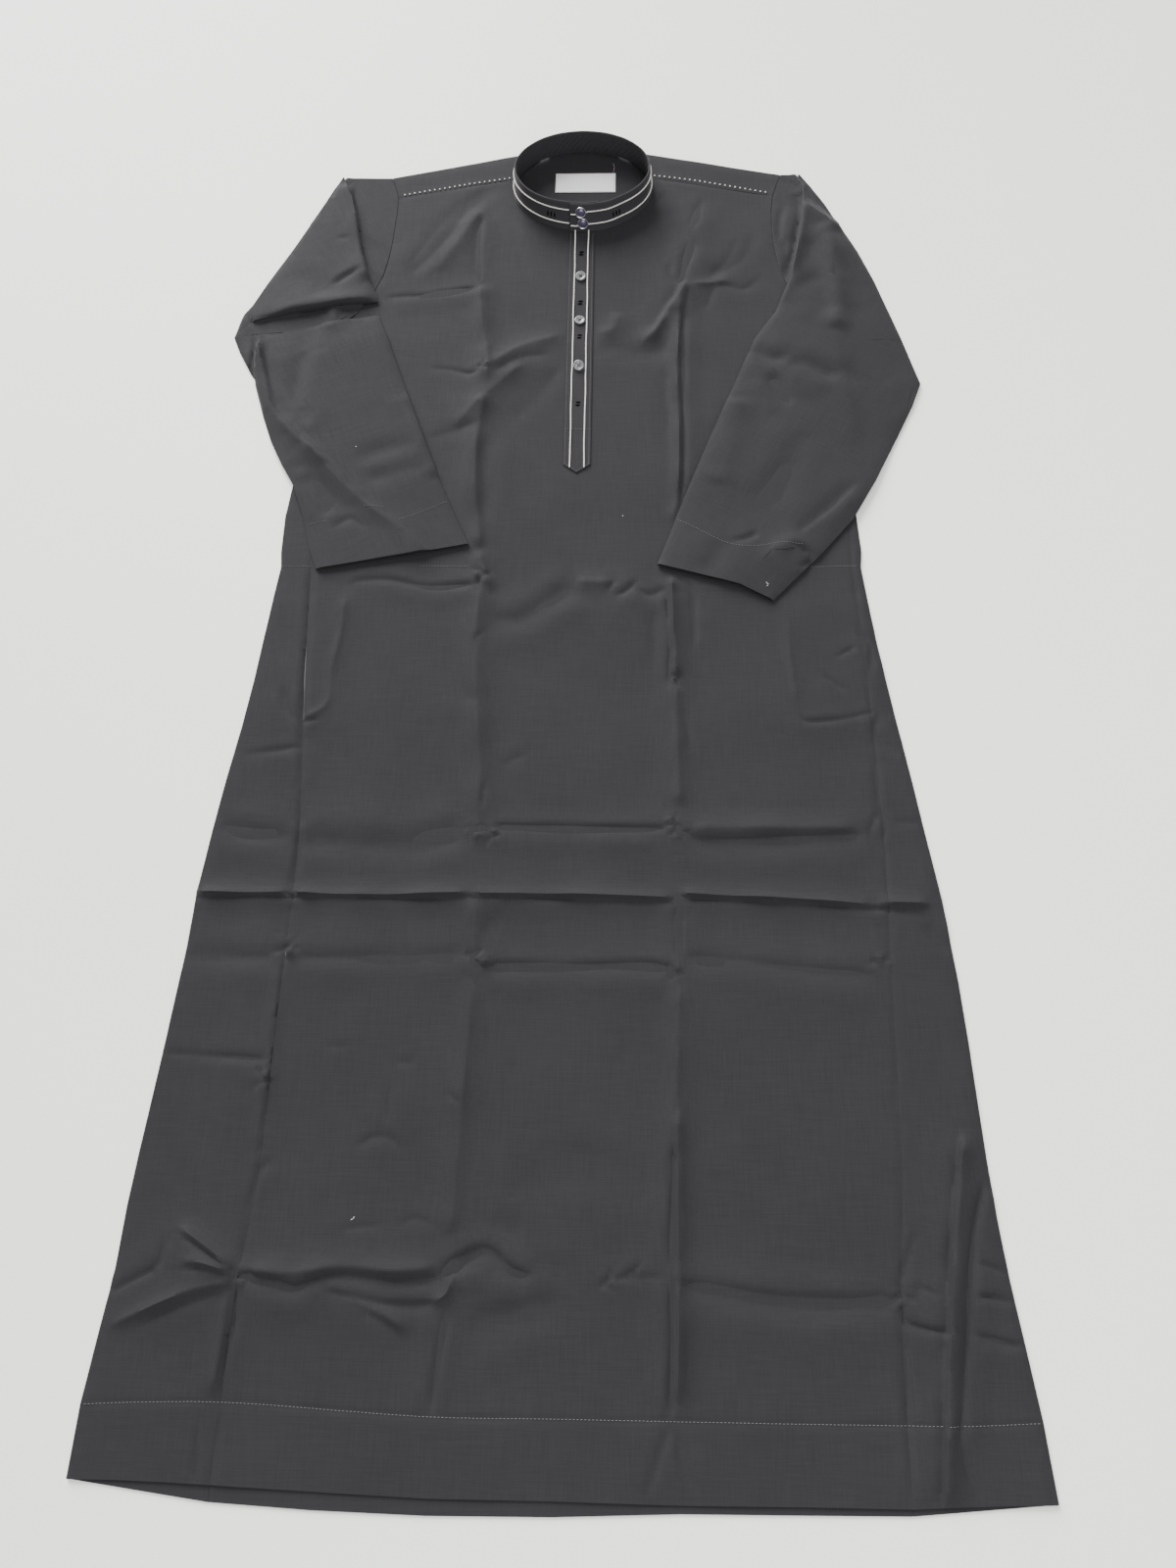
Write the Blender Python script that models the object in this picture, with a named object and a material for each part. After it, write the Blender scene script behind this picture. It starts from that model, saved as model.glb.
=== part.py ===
"""An ankle-length kurta with a banded collar, laid flat on its back with its sleeves folded over the front.

Metres, +Z up from the surface it lies on, +Y towards the collar, +X to the viewer's right.
The tables give each place as (across, up): across from the garment's centre line, up from the hem's
corners. place() moves that into the part's frame, whose origin is at mid-length on the surface.
"""

from collections import namedtuple
from math import atan2, cos, exp, hypot, pi, radians, sin, sqrt

import bmesh
import bpy
from mathutils import Matrix, Vector

# Driving sizes
MID_LENGTH = 0.71  # from the hem's corners to the origin
WALL = 0.0012  # cloth, with its turnings and interlining
GAP = 0.0003  # between pieces at a seam, and between layers
BACK_TOP = WALL
FRONT_UNDER = BACK_TOP + GAP
FRONT_TOP = FRONT_UNDER + WALL
REST_ON_FRONT = FRONT_TOP + GAP
FOLD_DEPTH = FRONT_TOP  # two layers and the gap between them, at a folded edge

# Collar: ellipses about a centre on the centre line
COLLAR_UP = 1.375
COLLAR_FOOT = (0.0840, 0.0660)
COLLAR_RIM = (0.0812, 0.0587)
COLLAR_RIM_SHIFT = 0.0025
COLLAR_HEIGHT = 0.0345
COLLAR_EDGE = (0.0008, 0.0005)  # its top edge's rounding, down and in
COLLAR_WALL = 0.0020
COLLAR_LAP = 0.0025  # how far the lapping end stands out past the end beneath it
COLLAR_UNDER_END = radians(13.8)
COLLAR_OVER_END = radians(-369.3)
COLLAR_STEPS = 54
COLLAR_LAP_ANGLES = (radians(-322), radians(-341))  # where the lapping end starts to stand out
COLLAR_ON_BACK = radians(149)  # past this angle the collar stands on the back, inside the yokes
NECK_EDGE = (0.0836, 0.0656)

# Placket, buttons and snaps
PLACKET_HALF = 0.0150
PLACKET_TOP = 1.3050
PLACKET_SHOULDER = 0.9710
PLACKET_TIP = 0.9600
BUTTON_UPS = (1.235, 1.170, 1.103)
BUTTON_RADIUS = 0.0060
BUTTON_THICK = 0.0024
BUTTON_HOLE_RADIUS = 0.0007
BUTTON_HOLE_OFFSET = 0.0013
BUTTON_STEPS = 20
BUTTON_PROFILE = [(0.0, 0.0), (0.80, 0.0), (1.0, 0.45), (0.93, 1.0), (0.74, 1.0), (0.60, 0.66), (0.0, 0.60)]
SNAP_RADIUS = 0.0064
SNAP_HEIGHT = 0.0032
SNAP_HEIGHTS = (0.0260, 0.0135)
SNAP_ACROSS = (-0.0010, 0.0015)
SNAP_PROFILE = [(0.0, 0.0), (1.0, 0.0), (1.0, 0.30), (0.80, 0.66), (0.45, 0.92), (0.0, 1.0)]

# Label, on the back inside the neck
LABEL_SIZE = (0.073, 0.031, 0.0006)
LABEL_AT = (0.003, 1.3875)

# Pocket bags, between front and back: inner edge, outer edge, bottom, top
POCKET_THICK = 0.0010
POCKET_LIFT = POCKET_THICK + GAP
Pocket = namedtuple("Pocket", "inner outer bottom top corner")
POCKETS = {
    "pocket_left": Pocket(-0.246, -0.296, 0.665, 0.785, 0.022),
    "pocket_right": Pocket(0.226, 0.292, 0.665, 0.785, 0.022),
}

# Body outline: the two side edges and the two gore seams at each height above the hem
Body = namedtuple("Body", "up left left_seam right_seam right")
BODY = [
    Body(0.000, -0.387, -0.272, 0.280, 0.393),
    Body(0.055, -0.385, -0.271, 0.281, 0.388),
    Body(0.105, -0.379, -0.270, 0.281, 0.381),
    Body(0.155, -0.373, -0.267, 0.284, 0.374),
    Body(0.210, -0.371, -0.262, 0.290, 0.368),
    Body(0.270, -0.366, -0.259, 0.294, 0.364),
    Body(0.330, -0.360, -0.260, 0.295, 0.361),
    Body(0.380, -0.356, -0.260, 0.296, 0.359),
    Body(0.430, -0.352, -0.259, 0.297, 0.354),
    Body(0.482, -0.350, -0.258, 0.299, 0.349),
    Body(0.550, -0.343, -0.259, 0.300, 0.339),
    Body(0.620, -0.334, -0.264, 0.299, 0.329),
    Body(0.680, -0.325, -0.269, 0.297, 0.319),
    Body(0.760, -0.318, -0.274, 0.295, 0.308),
    Body(0.842, -0.310, -0.278, 0.290, 0.299),
    Body(0.860, -0.312, -0.281, 0.290, 0.301),
    Body(0.900, -0.313, -0.288, 0.290, 0.299),
    Body(0.950, -0.308, -0.293, 0.290, 0.297),
    Body(1.000, -0.304, -0.3005, 0.2935, 0.297),
]
GORE_TOP = 1.000
ARMPIT_UP = 1.150
GORE_SHARES = (0.0, 0.30, 0.60, 0.86)

# Front and back above the gores: side edge, then armhole, up to the shoulder edge
Side = namedtuple("Side", "up left right")
SIDE = [
    Side(1.000, -0.304, 0.297),
    Side(1.028, -0.303, 0.297),
    Side(1.062, -0.300, 0.296),
    Side(1.100, -0.296, 0.294),
    Side(1.128, -0.293, 0.292),
    Side(1.150, -0.290, 0.290),
    Side(1.185, -0.258, 0.262),
    Side(1.216, -0.242, 0.242),
    Side(1.241, -0.233, 0.234),
    Side(1.271, -0.228, 0.229),
    Side(1.294, -0.226, 0.227),
    Side(1.3175, -0.225, 0.226),
    Side(1.341, -0.224, 0.2265),
    Side(1.364, -0.224, 0.2290),
    Side(1.382, -0.2285, 0.2345),
    Side(1.400, -0.2350, 0.2410),
]

# Hem: how far the front's and the back's hems lie from the line between the hem's corners
Hem = namedtuple("Hem", "across front back")
HEM = [
    Hem(-0.387, 0.000, 0.000),
    Hem(-0.330, 0.000, -0.007),
    Hem(-0.272, -0.002, -0.014),
    Hem(-0.190, -0.005, -0.018),
    Hem(-0.100, -0.008, -0.020),
    Hem(0.000, -0.008, -0.019),
    Hem(0.100, -0.009, -0.015),
    Hem(0.200, -0.008, -0.014),
    Hem(0.281, -0.008, -0.013),
    Hem(0.335, -0.005, -0.006),
    Hem(0.393, -0.003, -0.003),
]

# Press folds: the two long folds' places at each height
Press = namedtuple("Press", "up left right")
PRESS = [
    Press(0.000, -0.099, 0.094),
    Press(0.100, -0.093, 0.095),
    Press(0.160, -0.090, 0.096),
    Press(0.250, -0.087, 0.098),
    Press(0.320, -0.085, 0.105),
    Press(0.420, -0.081, 0.105),
    Press(0.480, -0.085, 0.105),
    Press(0.590, -0.087, 0.107),
    Press(0.680, -0.093, 0.102),
    Press(0.800, -0.103, 0.101),
    Press(0.850, -0.100, 0.106),
    Press(0.920, -0.106, 0.111),
    Press(0.980, -0.113, 0.115),
    Press(1.060, -0.106, 0.117),
    Press(1.130, -0.107, 0.116),
    Press(1.190, -0.115, 0.118),
    Press(1.230, -0.119, 0.118),
    Press(1.330, -0.123, 0.137),
    Press(1.395, -0.126, 0.146),
]

# Rows of the front above the hem, closer together where a fold crosses
ROWS_UP = [
    0.000, 0.053, 0.104, 0.141, 0.155, 0.170, 0.205, 0.250, 0.300, 0.350, 0.404, 0.418, 0.432, 0.469,
    0.482, 0.495, 0.533, 0.547, 0.561, 0.600, 0.640, 0.655, 0.710, 0.755, 0.797, 0.812, 0.842, 0.860,
    0.905, 0.952, 1.000, 1.028, 1.062, 1.100, 1.128, 1.150, 1.185, 1.216, 1.241,
]
TOP_ROW = 1.271
NECK_ROWS = 4
NECK_COLUMNS_UP = 1.330  # the columns' places here are carried up to the yokes

# Columns of the front: shares of the way between the side and the press fold, then across the middle
SIDE_SHARES_LEFT = (0.0, 0.23, 0.31, 0.54, 0.78)
SIDE_SHARES_RIGHT = (0.22, 0.475, 0.542, 0.77, 1.0)
PRESS_HALF_WIDTH = 0.013
NECK_ANGLES = (-106.5, -85, -65, -45, -22, 0, 22, 45, 65, 85, 106.5)
MIDDLE_SHARES = (0.07, 0.14, 0.23, 0.32, 0.41, 0.50, 0.59, 0.68, 0.77, 0.86, 0.93)

# Yoke seams: how far up at the armhole and at the neck, on the front and on the back
YOKE_FRONT = (1.3640, 1.3940)
YOKE_BACK = (1.3450, 1.3750)
YOKE_SEAM_ACROSS = (0.2235, 0.0813)
SHOULDER_EDGE = (1.3975, 1.4320)
SHOULDER_ACROSS = (0.234, 0.085)
YOKE_NECK_END = 0.055
YOKE_FRONT_SHARES = (0.0, 0.35, 0.70, 0.93)
YOKE_BACK_SHARES = (0.0, 0.22, 0.45, 0.70, 0.80, 0.95)
YOKE_STEPS = 9
BACK_NECK_UP = 1.4425

# Folds in the front and the gores: ends, sideways bow, height and half width
Fold = namedtuple("Fold", "x0 up0 x1 up1 bow height width")
FOLDS = [
    Fold(-0.350, 0.547, 0.300, 0.547, 0.000, 0.0022, 0.011),
    Fold(-0.352, 0.482, 0.345, 0.482, 0.000, 0.0018, 0.008),
    Fold(-0.262, 0.418, 0.300, 0.418, 0.000, 0.0020, 0.010),
    Fold(-0.372, 0.158, -0.091, 0.157, 0.004, 0.0028, 0.013),
    Fold(-0.091, 0.158, 0.288, 0.146, 0.003, 0.0018, 0.012),
    Fold(-0.360, 0.331, -0.262, 0.330, 0.000, 0.0015, 0.010),
    Fold(-0.270, 0.152, -0.150, 0.095, 0.010, 0.0026, 0.016),
    Fold(-0.270, 0.152, -0.375, 0.205, 0.006, 0.0026, 0.012),
    Fold(-0.270, 0.152, -0.378, 0.110, -0.006, 0.0024, 0.013),
    Fold(-0.135, 1.023, -0.004, 1.142, 0.016, 0.0030, 0.015),
    Fold(-0.200, 1.210, -0.124, 1.221, 0.002, 0.0020, 0.012),
    Fold(0.116, 1.219, 0.195, 1.225, 0.004, 0.0020, 0.014),
    Fold(-0.083, 0.784, 0.097, 0.828, -0.022, 0.0028, 0.016),
    Fold(-0.225, 0.826, -0.110, 0.814, -0.004, 0.0024, 0.012),
    Fold(0.145, 1.355, 0.100, 1.180, 0.006, 0.0022, 0.016),
    Fold(0.340, 0.260, 0.308, 0.010, 0.004, 0.0034, 0.013),
    Fold(0.290, 0.150, 0.375, 0.112, 0.000, 0.0022, 0.012),
    Fold(-0.300, 0.560, -0.286, 0.040, 0.006, 0.0016, 0.014),
]
FOLD_RUN_OUT = (-0.05, 0.10)  # shares of a fold's length over which its ends fade
PRESS_HEIGHT = 0.0026
PRESS_CREST = 0.0078  # half width of a press fold's crest
PRESS_FADE = (0.030, 0.090)
PRESS_END = (1.360, 1.300)
CLEAR_OF_SLEEVE = (0.030, 0.058)  # the front lies flat where a sleeve is this near, or nearer
CLEAR_OF_PLACKET = (0.012, 0.035)
POCKET_SLOPE = (0.024, 0.012)

# Sleeve sections: outer edge, crest of the long fold, inner edge, and depth of the folded cloth
Section = namedtuple("Section", "ox oup fx fup ix iup depth")
LEFT_UPPER = [
    Section(-0.2955, 1.3945, -0.2945, 1.3943, -0.2930, 1.3940, 0.0030),
    Section(-0.3120, 1.3570, -0.2990, 1.3600, -0.2810, 1.3625, 0.0038),
    Section(-0.3310, 1.3140, -0.3050, 1.3180, -0.2705, 1.3210, 0.0044),
    Section(-0.3500, 1.2700, -0.3100, 1.2710, -0.2605, 1.2720, 0.0048),
    Section(-0.3690, 1.2280, -0.3140, 1.2280, -0.2475, 1.2280, 0.0050),
    Section(-0.3855, 1.1880, -0.3160, 1.2010, -0.2375, 1.2060, 0.0050),
    Section(-0.3835, 1.1740, -0.3160, 1.1900, -0.2360, 1.2010, 0.0042),
    Section(-0.3820, 1.1700, -0.3150, 1.1860, -0.2365, 1.1985, 0.0022),
]
LEFT_FOREARM = [
    Section(-0.3735, 1.1520, -0.3700, 1.1525, -0.2340, 1.1790, 0.0022),
    Section(-0.3730, 1.1470, -0.3680, 1.1470, -0.2325, 1.1750, 0.0040),
    Section(-0.3705, 1.1100, -0.3590, 1.1120, -0.2200, 1.1440, 0.0056),
    Section(-0.3660, 1.0800, -0.3490, 1.0780, -0.2080, 1.1100, 0.0056),
    Section(-0.3520, 1.0370, -0.3330, 1.0430, -0.1920, 1.0660, 0.0056),
    Section(-0.3380, 1.0000, -0.3060, 1.0130, -0.1780, 1.0280, 0.0054),
    Section(-0.3230, 0.9700, -0.2750, 0.9780, -0.1630, 0.9870, 0.0052),
    Section(-0.3080, 0.9440, -0.2430, 0.9470, -0.1470, 0.9460, 0.0050),
    Section(-0.2920, 0.9020, -0.2070, 0.9130, -0.1310, 0.9080, 0.0050),
    Section(-0.2810, 0.8620, -0.1800, 0.8840, -0.1200, 0.8840, 0.0050),
    Section(-0.2720, 0.8370, -0.1620, 0.8570, -0.1120, 0.8680, 0.0052),
]
LEFT_FOREARM_HOLLOW_FROM = 4
RIGHT_ARM = [
    Section(0.2625, 1.3940, 0.2620, 1.3935, 0.2612, 1.3930, 0.0030),
    Section(0.2760, 1.3710, 0.2710, 1.3690, 0.2658, 1.3670, 0.0042),
    Section(0.2910, 1.3430, 0.2770, 1.3400, 0.2635, 1.3420, 0.0058),
    Section(0.3060, 1.3090, 0.2860, 1.3080, 0.2585, 1.3090, 0.0066),
    Section(0.3250, 1.2700, 0.2960, 1.2700, 0.2525, 1.2700, 0.0070),
    Section(0.3410, 1.2270, 0.3000, 1.2270, 0.2425, 1.2270, 0.0070),
    Section(0.3530, 1.1850, 0.3000, 1.1850, 0.2250, 1.1810, 0.0068),
    Section(0.3660, 1.1400, 0.3000, 1.1380, 0.1990, 1.1410, 0.0066),
    Section(0.3815, 1.0790, 0.2900, 1.0800, 0.1780, 1.0860, 0.0064),
    Section(0.3700, 1.0480, 0.2750, 1.0450, 0.1630, 1.0480, 0.0060),
    Section(0.3480, 1.0020, 0.2580, 1.0000, 0.1450, 1.0020, 0.0058),
    Section(0.3220, 0.9480, 0.2350, 0.9470, 0.1240, 0.9470, 0.0056),
    Section(0.2950, 0.9000, 0.2120, 0.8990, 0.1080, 0.9030, 0.0056),
    Section(0.2620, 0.8600, 0.1880, 0.8600, 0.0980, 0.8730, 0.0058),
    Section(0.2060, 0.8000, 0.1720, 0.8180, 0.0870, 0.8430, 0.0060),
]
RIGHT_ARM_HOLLOW_FROM = 8

# Sleeve heads, flat outside the armholes: their outer edges, under the turned-down sleeve
Head = namedtuple("Head", "up left right")
HEAD = [
    Head(1.092, -0.3700, 0.3680),
    Head(1.100, -0.3750, 0.3690),
    Head(1.128, -0.3900, 0.3650),
    Head(1.150, -0.3995, 0.3600),
    Head(1.185, -0.3920, 0.3500),
    Head(1.216, -0.3720, 0.3420),
    Head(1.241, -0.3610, 0.3330),
    Head(1.271, -0.3480, 0.3220),
    Head(1.294, -0.3380, 0.3100),
    Head(1.3175, -0.3280, 0.2990),
    Head(1.341, -0.3170, 0.2870),
    Head(1.364, -0.3070, 0.2760),
    Head(1.382, -0.2990, 0.2670),
    Head(1.3965, -0.2930, 0.2610),
]
HEAD_SEAM = 0.0008
HEAD_LOW = {"left": 1.092, "right": 1.128}
HEAD_HIDDEN_TOP = 0.0034
HEAD_SHOWN = 0.018  # of the head, past the pleat's edge, before it rises into the hidden layers

# Across a sleeve: shares of its width
CREST_STEP = 0.004
INNER_SHARES = (0.25, 0.50, 0.74, 0.93)
OUTERMOST_SHARES = (0.0, 0.03)
INNERMOST_SHARES = (0.985, 1.0)
EDGE_ROUNDING = 0.60
FULLNESS = 0.35  # the lower, the more evenly thick a sleeve is across
FOREARM_CREST = 0.0022
CREST_RUNS = (0.16, 0.03)  # shares over which the crest falls, outwards and inwards
LEAVE_SHARES = (0.10, 0.80)  # where a section may leave the body's edge
LEAST_DROP = 0.03
SUPPORT_START = 0.003
SUPPORT_END = 0.018
HANG_FROM = (0.022, 0.045)  # how far a sleeve must reach past the body before its edge sinks to the table
HANG_UPS = (1.330, 1.270)
NEAR_SHARES = (0.90, 0.94)  # a sleeve's inner edge, lifted clear of the armhole's seam
NEAR_LIFT = 0.0010
LEFT_NEAR_UPS = (1.216, 1.205)
RIGHT_NEAR_UPS = (1.200, 1.240)
PLEAT_SHARE = 0.06
PLEAT_DROP = 0.0022

COLLECTION = "kurta"


def place(across, up, z):
    return Vector((across, up - MID_LENGTH, z))


def blend(a, b, share):
    return a + (b - a) * share


def smooth(low, high, value):
    share = min(1.0, max(0.0, (value - low) / (high - low)))
    return share * share * (3 - 2 * share)


def column(table, key, value, field):
    """The field of a table at a value of its key, straight between its rows."""
    rows = table if getattr(table[0], key) < getattr(table[-1], key) else table[::-1]
    if value <= getattr(rows[0], key):
        return getattr(rows[0], field)
    for low, high in zip(rows, rows[1:]):
        k0, k1 = getattr(low, key), getattr(high, key)
        if value <= k1:
            return blend(getattr(low, field), getattr(high, field), (value - k0) / (k1 - k0))
    return getattr(rows[-1], field)


# Outlines


def panel_side(up, side):
    """The front's and the back's edge: the gore seam, then the side edge and the armhole."""
    if up < GORE_TOP:
        return column(BODY, "up", up, side + "_seam")
    if up < GORE_TOP + GAP:
        return column(BODY, "up", GORE_TOP, side + "_seam")
    return column(SIDE, "up", up, side)


def body_edge(up, side):
    """The garment's outer edge, over the gores too."""
    return column(BODY, "up", up, side) if up < GORE_TOP else column(SIDE, "up", up, side)


def shoulder_edge(across):
    share = (abs(across) - SHOULDER_ACROSS[0]) / (SHOULDER_ACROSS[1] - SHOULDER_ACROSS[0])
    return blend(*SHOULDER_EDGE, max(0.0, share))


def yoke_seam(across, ends):
    share = (abs(across) - YOKE_SEAM_ACROSS[0]) / (YOKE_SEAM_ACROSS[1] - YOKE_SEAM_ACROSS[0])
    return blend(*ends, min(1.0, max(0.0, share)))


def neck_point(angle, radii=NECK_EDGE):
    return radii[0] * sin(angle), COLLAR_UP - radii[1] * cos(angle)


def yoke_neck_up(seam, share):
    """A height up a yoke's end at the neck, from its seam to the shoulder edge."""
    return blend(seam[1], shoulder_edge(YOKE_NECK_END), share)


def yoke_neck_across(up):
    """A yoke's end at the neck follows the neck's edge, then runs straight out behind the collar."""
    share = min(1.0, abs(up - COLLAR_UP) / NECK_EDGE[1])
    return max(YOKE_NECK_END, NECK_EDGE[0] * sqrt(1 - share * share))


# Relief of the front


def segment_distance(x, up, x0, up0, x1, up1):
    """Distance to a segment, and how far along it the nearest point is."""
    dx, du = x1 - x0, up1 - up0
    length2 = dx * dx + du * du
    along = ((x - x0) * dx + (up - up0) * du) / length2
    held = min(1.0, max(0.0, along))
    return hypot(x - x0 - dx * held, up - up0 - du * held), held


def fold_height(fold, x, up):
    dx, du = fold.x1 - fold.x0, fold.up1 - fold.up0
    length = hypot(dx, du)
    along = ((x - fold.x0) * dx + (up - fold.up0) * du) / (length * length)
    start, full = FOLD_RUN_OUT
    if not start < along < 1 - start:
        return 0.0
    off = ((x - fold.x0) * du - (up - fold.up0) * dx) / length
    off += fold.bow * 4 * along * (1 - along)
    ends = smooth(start, full, along) * smooth(1 - start, 1 - full, along)
    return fold.height * ends * exp(-((off / fold.width) ** 2))


def outline_of(sections):
    outer = [(s.ox, s.oup) for s in sections]
    inner = [(s.ix, s.iup) for s in sections]
    return outer + inner[::-1]


def outside_distance(x, up, outline):
    """How far a point lies outside a closed outline, 0 inside it."""
    inside = False
    nearest = 1.0
    for (x0, up0), (x1, up1) in zip(outline, outline[1:] + outline[:1]):
        nearest = min(nearest, segment_distance(x, up, x0, up0, x1, up1)[0])
        if (up0 > up) != (up1 > up) and x < x0 + (up - up0) / (up1 - up0) * (x1 - x0):
            inside = not inside
    return 0.0 if inside else nearest


PLACKET_OUTLINE = [
    (-PLACKET_HALF, PLACKET_TOP),
    (-PLACKET_HALF, PLACKET_SHOULDER),
    (0.0, PLACKET_TIP),
    (PLACKET_HALF, PLACKET_SHOULDER),
    (PLACKET_HALF, PLACKET_TOP),
]
NECK_OUTLINE = [neck_point(radians(a)) for a in range(0, 360, 30)]
SLEEVE_OUTLINES = [outline_of(sections) for sections in (LEFT_UPPER, LEFT_FOREARM, RIGHT_ARM)]


def covered(x, up):
    """0 on the front where something lies on it, 1 well away from it."""
    sleeves = min(outside_distance(x, up, outline) for outline in SLEEVE_OUTLINES)
    middle = min(outside_distance(x, up, PLACKET_OUTLINE), outside_distance(x, up, NECK_OUTLINE))
    return min(smooth(*CLEAR_OF_SLEEVE, sleeves), smooth(*CLEAR_OF_PLACKET, middle))


def pocket_lift(x, up):
    lift = 0.0
    for pocket in POCKETS.values():
        low, high = sorted((pocket.inner, pocket.outer))
        beside = max(low - x, x - high, pocket.bottom - up, up - pocket.top)
        lift = max(lift, POCKET_LIFT * smooth(*POCKET_SLOPE, beside))
    return lift


def relief(x, up):
    """How far the front is lifted off the back: folds, press folds and the pocket bags beneath."""
    height = sum(fold_height(fold, x, up) for fold in FOLDS)
    for side in ("left", "right"):
        off = x - column(PRESS, "up", up, side)
        crest = PRESS_HEIGHT * exp(-((off / PRESS_CREST) ** 2))
        height += crest * smooth(*PRESS_FADE, up) * smooth(*PRESS_END, up)
    return max(height * covered(x, up), pocket_lift(x, up))


# Making solids


def new_object(name, mesh, material, collection=None):
    obj = bpy.data.objects.new(name, mesh)
    (collection or bpy.data.collections[COLLECTION]).objects.link(obj)
    mesh.materials.append(material)
    return obj


def finish_mesh(name, bm):
    bmesh.ops.recalc_face_normals(bm, faces=bm.faces)
    mesh = bpy.data.meshes.new(name)
    bm.to_mesh(mesh)
    bm.free()
    mesh.shade_smooth()
    mesh.set_sharp_from_angle(angle=radians(40))
    return mesh


def add_loop(bm, points):
    return [bm.verts.new(p) for p in points]


def bridge(bm, first, second):
    """Quads between two closed loops of like length."""
    count = len(first)
    for k in range(count):
        n = (k + 1) % count
        bm.faces.new((first[k], first[n], second[n], second[k]))


def zip_end(bm, loop):
    """Closes a loop whose first half faces its second half."""
    half = len(loop) // 2
    last = len(loop) - 1
    for k in range(half - 1):
        bm.faces.new((loop[k], loop[k + 1], loop[last - k - 1], loop[last - k]))


def wall_solid(name, loops, material):
    """A length of cloth wall lofted through closed loops, one face of the wall then the other."""
    bm = bmesh.new()
    rings = [add_loop(bm, points) for points in loops]
    for first, second in zip(rings, rings[1:]):
        bridge(bm, first, second)
    zip_end(bm, rings[0])
    zip_end(bm, rings[-1])
    return new_object(name, finish_mesh(name, bm), material)


def tube_solid(name, loops, hollows, material, collection=None):
    """A flattened tube, closed at its first loop and open at its last, where the hollow ends."""
    bm = bmesh.new()
    rings = [add_loop(bm, points) for points in loops]
    for first, second in zip(rings, rings[1:]):
        bridge(bm, first, second)
    zip_end(bm, rings[0])
    if hollows:
        inner = [add_loop(bm, points) for points in hollows]
        for first, second in zip(inner, inner[1:]):
            bridge(bm, first, second)
        zip_end(bm, inner[0])
        bridge(bm, rings[-1], inner[-1])
    else:
        zip_end(bm, rings[-1])
    return new_object(name, finish_mesh(name, bm), material, collection)


def plate_solid(name, outline, low, high, material):
    """A flat plate of an outline, low and high being its two faces' heights."""
    bm = bmesh.new()
    face = bm.faces.new(add_loop(bm, [place(x, up, low) for x, up in outline]))
    raised = bmesh.ops.extrude_face_region(bm, geom=[face], use_keep_orig=True)["geom"]
    bmesh.ops.translate(
        bm, verts=[v for v in raised if isinstance(v, bmesh.types.BMVert)], vec=(0, 0, high - low)
    )
    return new_object(name, finish_mesh(name, bm), material)


def unite(obj, others):
    """Joins other solids into obj, where a sleeve's hidden layers meet."""
    for other in others:
        other.hide_render = True
        other.display_type = "WIRE"
        union = obj.modifiers.new("join_" + other.name, "BOOLEAN")
        union.operation = "UNION"
        union.object = other


def cloth_material(name, color, roughness, metallic=0.0):
    material = bpy.data.materials.new(name)
    material.use_nodes = True
    shader = material.node_tree.nodes["Principled BSDF"]
    shader.inputs["Base Color"].default_value = (*color, 1.0)
    shader.inputs["Roughness"].default_value = roughness
    shader.inputs["Metallic"].default_value = metallic
    return material


# The pieces


def front_columns(up):
    """Across places of the front's columns at one height."""
    left, right = panel_side(up, "left") + GAP / 2, panel_side(up, "right") - GAP / 2
    fold_left, fold_right = column(PRESS, "up", up, "left"), column(PRESS, "up", up, "right")
    a, b = fold_left - PRESS_HALF_WIDTH, fold_right + PRESS_HALF_WIDTH
    c, d = fold_left + PRESS_HALF_WIDTH, fold_right - PRESS_HALF_WIDTH
    places = [blend(left, a, share) for share in SIDE_SHARES_LEFT]
    places += [a, fold_left, c]
    places += [blend(c, d, share) for share in MIDDLE_SHARES]
    places += [d, fold_right, b]
    return places + [blend(b, right, share) for share in SIDE_SHARES_RIGHT]


def front_top(index, x):
    """Where a column of the front ends: at the yoke's seam or at the neck."""
    first = len(SIDE_SHARES_LEFT) + 3
    if first <= index < first + len(NECK_ANGLES):
        x, up = neck_point(radians(NECK_ANGLES[index - first]))
        return x, up
    return x, yoke_seam(x, YOKE_FRONT) - GAP / 2


def front_grid():
    rows = []
    for up in ROWS_UP:
        row = [(x, up) for x in front_columns(up)]
        if up == 0.0:
            row = [(x, column(HEM, "across", x, "front")) for x, _ in row]
        rows.append(row)
    base = front_columns(TOP_ROW)
    tops = [front_top(k, x) for k, x in enumerate(front_columns(NECK_COLUMNS_UP))]
    for step in range(NECK_ROWS + 1):
        share = step / NECK_ROWS
        row = [(blend(x, top[0], share), blend(TOP_ROW, top[1], share)) for x, top in zip(base, tops)]
        row[0] = (panel_side(row[0][1], "left") + GAP / 2, row[0][1])
        row[-1] = (panel_side(row[-1][1], "right") - GAP / 2, row[-1][1])
        rows.append(row)
    return rows


def make_front(cloth):
    loops = []
    for row in front_grid():
        lifts = [relief(x, up) for x, up in row]
        face = [place(x, up, FRONT_TOP + lift) for (x, up), lift in zip(row, lifts)]
        under = [place(x, up, FRONT_UNDER + lift) for (x, up), lift in zip(row, lifts)]
        loops.append(face + under[::-1])
    return wall_solid("front_panel", loops, cloth)


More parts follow.
